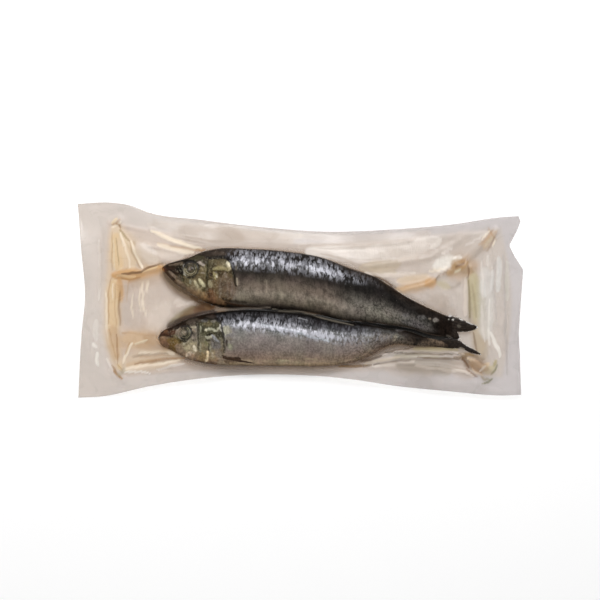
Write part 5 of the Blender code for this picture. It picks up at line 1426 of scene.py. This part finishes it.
def film_paint(x, y, look):
    """The film's colour with its painted glints and shade, opacity, bareness of fish, the cleft between the fish
    painted dark as shade, and creases, over each point.
    """
    bare = smooth_step(off_skin(x, y) / BARE_EDGE[0] + BARE_EDGE[1]) * (1.0 - blade_share(x, y))
    cleft = cleft_share(x, y)
    inside = inside_seams(x, y)[..., None]
    flange = left_to_right(look.flange, look.flange_right, x)
    seen = flange * (1.0 - inside) + left_to_right(look.web, look.web_right, x) * inside
    # Brine along the fish's outlines, its brown partly painted shade.
    seen = seen + (linear(BRINE_AND_SHADE_EDGE) - seen) * (look.brine * brine_share(x, y))[..., None]
    # Brine and creases, with painted glints, highlights and shade lines.
    seen, relief, marked = painted(seen, *wandered(FILM_WANDER, x, y), FILM_MARKS)
    cover = look.milk + (look.marked - look.milk) * marked
    cover = np.maximum(cover, 1.0 - np.sqrt(DEEP_TONE * np.clip(seen.min(axis=-1), 0.0, 1.0) / look.table))
    shade = SHADE_ON_FISH + (1.0 - SHADE_ON_FISH) * np.minimum(2.0 * bare, 1.0)
    tone = own_tone(seen, cover, look) * shade[..., None]
    # The cleft between the fish is painted dark, as shade.
    tone = tone + (linear(CLEFT_SHADE) - tone) * cleft[..., None]
    cover = look.tight + (cover - look.tight) * bare
    # Painted glints of the film's creases over the fish.
    tone, _, over = painted(tone, x, y, OVER_MARKS)
    cleft = cleft * (1.0 - over)
    return tone, np.clip(cover + (OVER_COVER - cover) * over, 0.0, 1.0), bare * (1.0 - cleft), cleft, relief


def inside_seams(x, y):
    """0 on the sealed flange and 1 inside its seams."""
    across = np.minimum(through(SEAMS["upper"], x) - y, y - through(SEAMS["lower"], x))
    along = np.minimum(x - through(SEAMS["left"], y), through(SEAMS["right"], y) - x)
    return smooth_step(np.minimum(across, along) / SEAM_FADE + 0.5)


def film_piece(look, material):
    """Both films as one closed sheet, drawn over and under the fish and sealed round the flange."""
    x, y = plan_points(look.columns, UPPER_ROWS)
    xs, ys, tops, unders = drawn_tight()
    top, under, _, footprint = fish_heights(x, y)
    high, low = sampled(xs, ys, tops, x, y), sampled(xs, ys, unders, x, y)
    high = np.where(footprint, np.maximum(high, top + FILM_THICKNESS), high)
    lobes = tail_share(x, y) * ~footprint
    folds, blade = fold_height(x, y) * ~footprint, TAIL_RISE * lobes
    carved = painted(0.0, x, y, FAR_MARKS + NEAR_MARKS)[1]
    tone, cover, bare, cleft, creases = film_paint(x, y, look)
    wet = np.maximum(brine_share(x, y), tail_share(x, y))
    crumpled, crinkled = crinkles(x, y)
    high = high + np.maximum(folds, blade)
    high = high + np.where(footprint, head_relief(x, y) + carved, (CREASE_RISE * creases + crumpled) * bare)
    low = np.maximum(low - np.maximum(FOLD_UNDERSIDE * folds, blade), 0.0)
    high = np.maximum(high, low + look.seam)
    loose = LOOSE_FLANGE + LOOSE_WEB * inside_seams(x, y) + LOOSE_CRINKLES * crinkled
    loose, matt = np.where(footprint, LOOSE_ON_FISH, loose), WET_MATT * np.maximum(cleft, wet)
    # In the cleft the upper film is all but clear and the under film is a nearly opaque dark sheet of painted shade.
    covers = cover + (look.tight - cover) * cleft, cover + (CLEFT_COVER - cover) * cleft
    kept = film_places()

    def both(upper, under):
        """A grid's points on the upper film, and then those of another that the under film has."""
        width = upper.shape[2:] or (1,)
        return np.concatenate([grid.reshape(-1, *width) for grid in (upper, under[::2][:, kept])])

    corners = np.concatenate([both(x, x), both(y, y), both(high, low)], axis=1)
    under = np.arange(len(corners))[:, None] >= x.size
    return new_piece(
        "film", corners, film_faces(*x.shape, kept), material, node="pouch",
        uv=corners[:, :2] * MAP_SCALE + FILM_MAP_STEP * under,
        colours={"paint": both(tone, tone)},
        values={"cover": both(*covers), "loose": both(loose, loose), "matt": both(matt, matt)},
    )


def off_skin(x, y):
    """How far each point is outside the fish's skins, less than 0 on them."""
    nearest = np.full(np.shape(x), np.inf)
    for index, fish in enumerate(FISH):
        back, belly = skin_edges(index, x)
        off = np.maximum(np.maximum(y - back, belly - y), np.maximum(fish[0][0] - x, x - fish[-1][0]))
        nearest = np.minimum(nearest, off)
    return nearest


def number(name, description, default, **more):
    """A setting that is a number."""
    return bpy.props.FloatProperty(name=name, description=description, default=default, **more)


def count(name, description, default, least):
    """A setting that is a whole number."""
    return bpy.props.IntProperty(name=name, description=description, default=default, min=least)


def colour(name, description, default):
    """A setting that is a colour."""
    return bpy.props.FloatVectorProperty(name=name, description=description, default=default, size=3,
                                         subtype="COLOR", min=0.0, max=1.0)


class SardineSettings(bpy.types.PropertyGroup):
    head_rings: count("Head rings", "Rings down each head", 140, 20)
    body_rings: count("Body rings", "Rings down each body", 230, 20)
    around: count("Around", "Corners round each ring", 208, 24)
    gap: number("Gap", "Room between skin and film, in mm", 0.10, min=0.0)
    # The silver band's tone, bright enough to stand in part for a painted highlight.
    silver: colour("Silver", "The brightest scales in the flank's band", (0.50, 0.50, 0.55))
    mottle: number("Mottle", "How much worn scales vary the tone", 0.42)
    # The heads' bright specks are painted glints.
    glint: colour("Glint", "Bright specks on the gill covers and cheeks", (0.56, 0.52, 0.38))
    pit: colour("Pit", "Dark specks on the gill covers and cheeks", (0.045, 0.038, 0.025))
    speck: number("Speck", "Strength of the specks on the heads", 0.15)
    relief: number("Relief", "Depth of the scales, in mm", 0.20)
    roughness: number("Roughness", "Roughness of the skin", 0.34)
    metallic: number("Metallic", "How metallic the silver scales are", 0.15)
    shine: number("Shine", "Specular level of the bare skin", 0.04)
    wetness: number("Wetness", "Gloss of the wet skin under its film", 0.15)


class EyeSettings(bpy.types.PropertyGroup):
    cloud: number("Cloud", "How much haze breaks up the rings", 0.3)
    stand: number("Stand", "How far the eye stands from the skin, in mm", 0.05)


class FinSettings(bpy.types.PropertyGroup):
    web: colour("Web", "The tail's dark web", (0.008, 0.005, 0.004))
    ray: colour("Ray", "The tail's paler rays", (0.045, 0.032, 0.023))
    breast_web: colour("Breast web", "The web of the paired fins", (0.040, 0.022, 0.012))
    breast_ray: colour("Breast ray", "The rays of the paired fins", (0.085, 0.048, 0.028))


class FilmSettings(bpy.types.PropertyGroup):
    columns: count("Columns", "Mesh columns along the pouch, an even number", 460, 60)
    flange: colour("Flange", "The flange's left end, as seen on white", (0.815, 0.78, 0.75))
    flange_right: colour("Flange right", "The flange's right end, as seen on white", (0.78, 0.757, 0.752))
    web: colour("Web", "The web's left end, as seen on white", (0.80, 0.745, 0.70))
    web_right: colour("Web right", "The web's right end, as seen on white", (0.78, 0.745, 0.715))
    table: number("Table", "How bright the table is that shows through", 0.97)
    light: number("Light", "How bright a white film would be", 1.12)
    milk: number("Milk", "Opacity of each film in the web", 0.52)
    marked: number("Marked", "Opacity of each film on brine and creases", 0.72)
    tight: number("Tight", "Opacity of the film on a fish", 0.04)
    clear: number("Clear", "How much less shade the film casts than its milk would", 0.85)
    brine: number("Brine", "Strength of the brine along the fish", 0.7)
    seam: number("Seam", "Thickness of the sealed flange, in mm", 0.45)
    crinkle: number("Crinkle", "Depth of the finest creases, in mm", 0.35)
    roughness: number("Roughness", "Roughness of the film", 0.26)
    ior: number("IOR", "Refractive index of the film's gloss", 1.38)


class StageSettings(bpy.types.PropertyGroup):
    floor: colour("Floor", "The pale floor", (0.97, 0.97, 0.97))
    lift: number("Lift", "Light that evens out the floor", 0.08)
    camera_height: number("Camera height", "Height of the camera over the table", 1.2,
                          subtype="DISTANCE", unit="LENGTH")
    field: number("Field", "Width of the view at the table", 0.3402, subtype="DISTANCE", unit="LENGTH")
    key: number("Key", "Power of the window light, in watts", 15.5)
    fill: number("Fill", "Strength of the even light all round", 0.70)


def reported(operator, message):
    """Ends an operator with a message."""
    operator.report({"INFO"}, message)
    return {"FINISHED"}


class SARDINE_OT_bodies(bpy.types.Operator):
    """Builds the sardines' bodies"""

    bl_idname = "sardine.bodies"
    bl_label = "Bodies"

    def execute(self, context):
        look = context.scene.sardine_look
        material = skin_material("sardine_skin", look)
        body_piece("far_sardine", 0, look, material)
        body_piece("near_sardine", 1, look, material)
        return reported(self, "Built the bodies")


class SARDINE_OT_eyes(bpy.types.Operator):
    """Builds an eye on each flank of each head"""

    bl_idname = "sardine.eyes"
    bl_label = "Eyes"

    def execute(self, context):
        gap = context.scene.sardine_look.gap
        material = eye_material("sardine_eye", context.scene.eye_look)
        for index, fish in enumerate(("far", "near")):
            for side, flank in ((1.0, "upper"), (-1.0, "lower")):
                eye_piece(fish + "_eye_" + flank, index, side, context.scene.eye_look, material, gap)
        return reported(self, "Built the eyes")


class SARDINE_OT_fins(bpy.types.Operator):
    """Builds the tails and the paired fins"""

    bl_idname = "sardine.fins"
    bl_label = "Fins"

    def execute(self, context):
        look, gap = context.scene.fin_look, context.scene.sardine_look.gap
        dark = fin_material("tail_fin", look.web, look.ray)
        pale = fin_material("breast_fin", look.breast_web, look.breast_ray)

        def level(x, y):
            return np.full(np.shape(x), TAIL_HEIGHT)

        for k, blade in enumerate(TAIL_BLADES):
            blade_piece("tail_lobe_%d" % (k + 1), blade, TAIL_THICKNESS, TAIL_RAYS, dark, level, 1.0, 70 + k)
        for index, (fish, ridge) in enumerate(zip(("far", "near"), FIN_RIDGES)):
            route = [(*point, width) for point, width in zip(ridge[2], BREAST_FIN_WIDTHS)]
            for side, flank in ((1.0, "upper"), (-1.0, "lower")):

                def on_flank(x, y, index=index, side=side):
                    top, middle = flank_top(index, x, y, gap)
                    return middle + side * (top - middle - BREAST_FIN_SUNK)

                blade_piece(fish + "_breast_fin_" + flank, route, BREAST_FIN_THICKNESS, BREAST_FIN_RAYS, pale,
                            on_flank, side, 80 + index)
        return reported(self, "Built the fins")


class SARDINE_OT_film(bpy.types.Operator):
    """Builds the pouch's two films, drawn over and under the fish"""

    bl_idname = "sardine.film"
    bl_label = "Film"

    def execute(self, context):
        look = context.scene.film_look
        film_piece(look, film_material("pouch_film", look))
        return reported(self, "Built the film")


def area_light(name, place, width, depth, power):
    """A soft rectangular light that faces the pouch."""
    data = bpy.data.lights.new(name, "AREA")
    data.shape, data.size, data.size_y, data.energy = "RECTANGLE", width, depth, power
    light = bpy.data.objects.new(name, data)
    bpy.context.scene.collection.objects.link(light)
    light.location = place
    light.rotation_euler = (-Vector(place)).to_track_quat("-Z", "Y").to_euler()


def studio(strength):
    """Even light all round from pale walls, under a darker ceiling."""
    world = bpy.data.worlds.new("studio")
    world.use_nodes = True
    tree = world.node_tree
    up = add_node(tree, "ShaderNodeSeparateXYZ", {0: add_node(tree, "ShaderNodeTexCoord").outputs["Generated"]})
    ceiling = (CEILING_TONE, CEILING_TONE, CEILING_TONE, 1.0)
    tone = mixed(tree, ranged(tree, up.outputs[2], *CEILING_FROM), (1.0, 1.0, 1.0, 1.0), ceiling)
    feed(tree, tree.nodes["Background"], {"Color": tone, "Strength": strength})
    return world


class SARDINE_OT_stage(bpy.types.Operator):
    """Sets the pale floor, the soft lights and the camera straight above"""

    bl_idname = "sardine.stage"
    bl_label = "Stage"

    def execute(self, context):
        scene, look = context.scene, context.scene.stage_look
        mesh = bpy.data.meshes.new("floor")
        corners = [(x * FLOOR_HALF, y * FLOOR_HALF, -FLOOR_DROP) for x, y in ((-1, -1), (1, -1), (1, 1), (-1, 1))]
        mesh.from_pydata(corners, [], [(0, 1, 2, 3)])
        floor = bpy.data.objects.new("floor", mesh)
        scene.collection.objects.link(floor)
        material, tree, shader, _ = new_material("floor_paper")
        place = add_node(tree, "ShaderNodeTexCoord").outputs["Object"]
        grain = add_node(tree, "ShaderNodeTexNoise", {"Vector": place, "Scale": 30.0, "Detail": 3.0}).outputs[0]
        tone = mixed(tree, grain, (*[c * FLOOR_GRAIN for c in look.floor], 1.0), (*look.floor, 1.0))
        feed(tree, shader, {"Base Color": tone, "Roughness": 0.9, "Emission Color": (1.0, 1.0, 1.0, 1.0),
                            "Emission Strength": look.lift})
        mesh.materials.append(material)
        for name, (place, width, depth, share) in LIGHTS.items():
            area_light(name, place, width, depth, look.key * share)
        scene.world = studio(look.fill)
        scene.view_settings.view_transform = "Standard"
        data = bpy.data.cameras.new("camera")
        data.sensor_width = SENSOR
        data.lens = SENSOR * look.camera_height / look.field
        camera = bpy.data.objects.new("camera", data)
        camera.location = (0.0, 0.0, look.camera_height)
        scene.collection.objects.link(camera)
        scene.camera = camera
        return reported(self, "Set the stage")


class SARDINE_PT_panel(bpy.types.Panel):
    """Every piece, in the order in which it is built"""

    bl_idname = "SARDINE_PT_panel"
    bl_label = "Sardines in a Pouch"
    bl_space_type = "VIEW_3D"
    bl_region_type = "UI"
    bl_category = "Sardines"

    def draw(self, context):
        layout = self.layout
        for operator, label in ((SARDINE_OT_bodies, "sardine_look"), (SARDINE_OT_eyes, "eye_look"),
                                (SARDINE_OT_fins, "fin_look"), (SARDINE_OT_film, "film_look"),
                                (SARDINE_OT_stage, "stage_look")):
            box = layout.box()
            box.operator(operator.bl_idname)
            settings = getattr(context.scene, label)
            for name in settings.__annotations__:
                box.prop(settings, name)


SETTINGS = {
    "sardine_look": SardineSettings,
    "eye_look": EyeSettings,
    "fin_look": FinSettings,
    "film_look": FilmSettings,
    "stage_look": StageSettings,
}
OPERATORS = (SARDINE_OT_bodies, SARDINE_OT_eyes, SARDINE_OT_fins, SARDINE_OT_film, SARDINE_OT_stage)


def register():
    for settings in SETTINGS.values():
        bpy.utils.register_class(settings)
    for label, settings in SETTINGS.items():
        setattr(bpy.types.Scene, label, bpy.props.PointerProperty(type=settings))
    for operator in OPERATORS:
        bpy.utils.register_class(operator)
    bpy.utils.register_class(SARDINE_PT_panel)


def unregister():
    bpy.utils.unregister_class(SARDINE_PT_panel)
    for operator in reversed(OPERATORS):
        bpy.utils.unregister_class(operator)
    for label in SETTINGS:
        delattr(bpy.types.Scene, label)
    for settings in SETTINGS.values():
        bpy.utils.unregister_class(settings)


def main():
    register()
    bpy.ops.sardine.bodies()
    bpy.ops.sardine.eyes()
    bpy.ops.sardine.fins()
    bpy.ops.sardine.film()
    bpy.ops.sardine.stage()


if __name__ == "__main__":
    main()
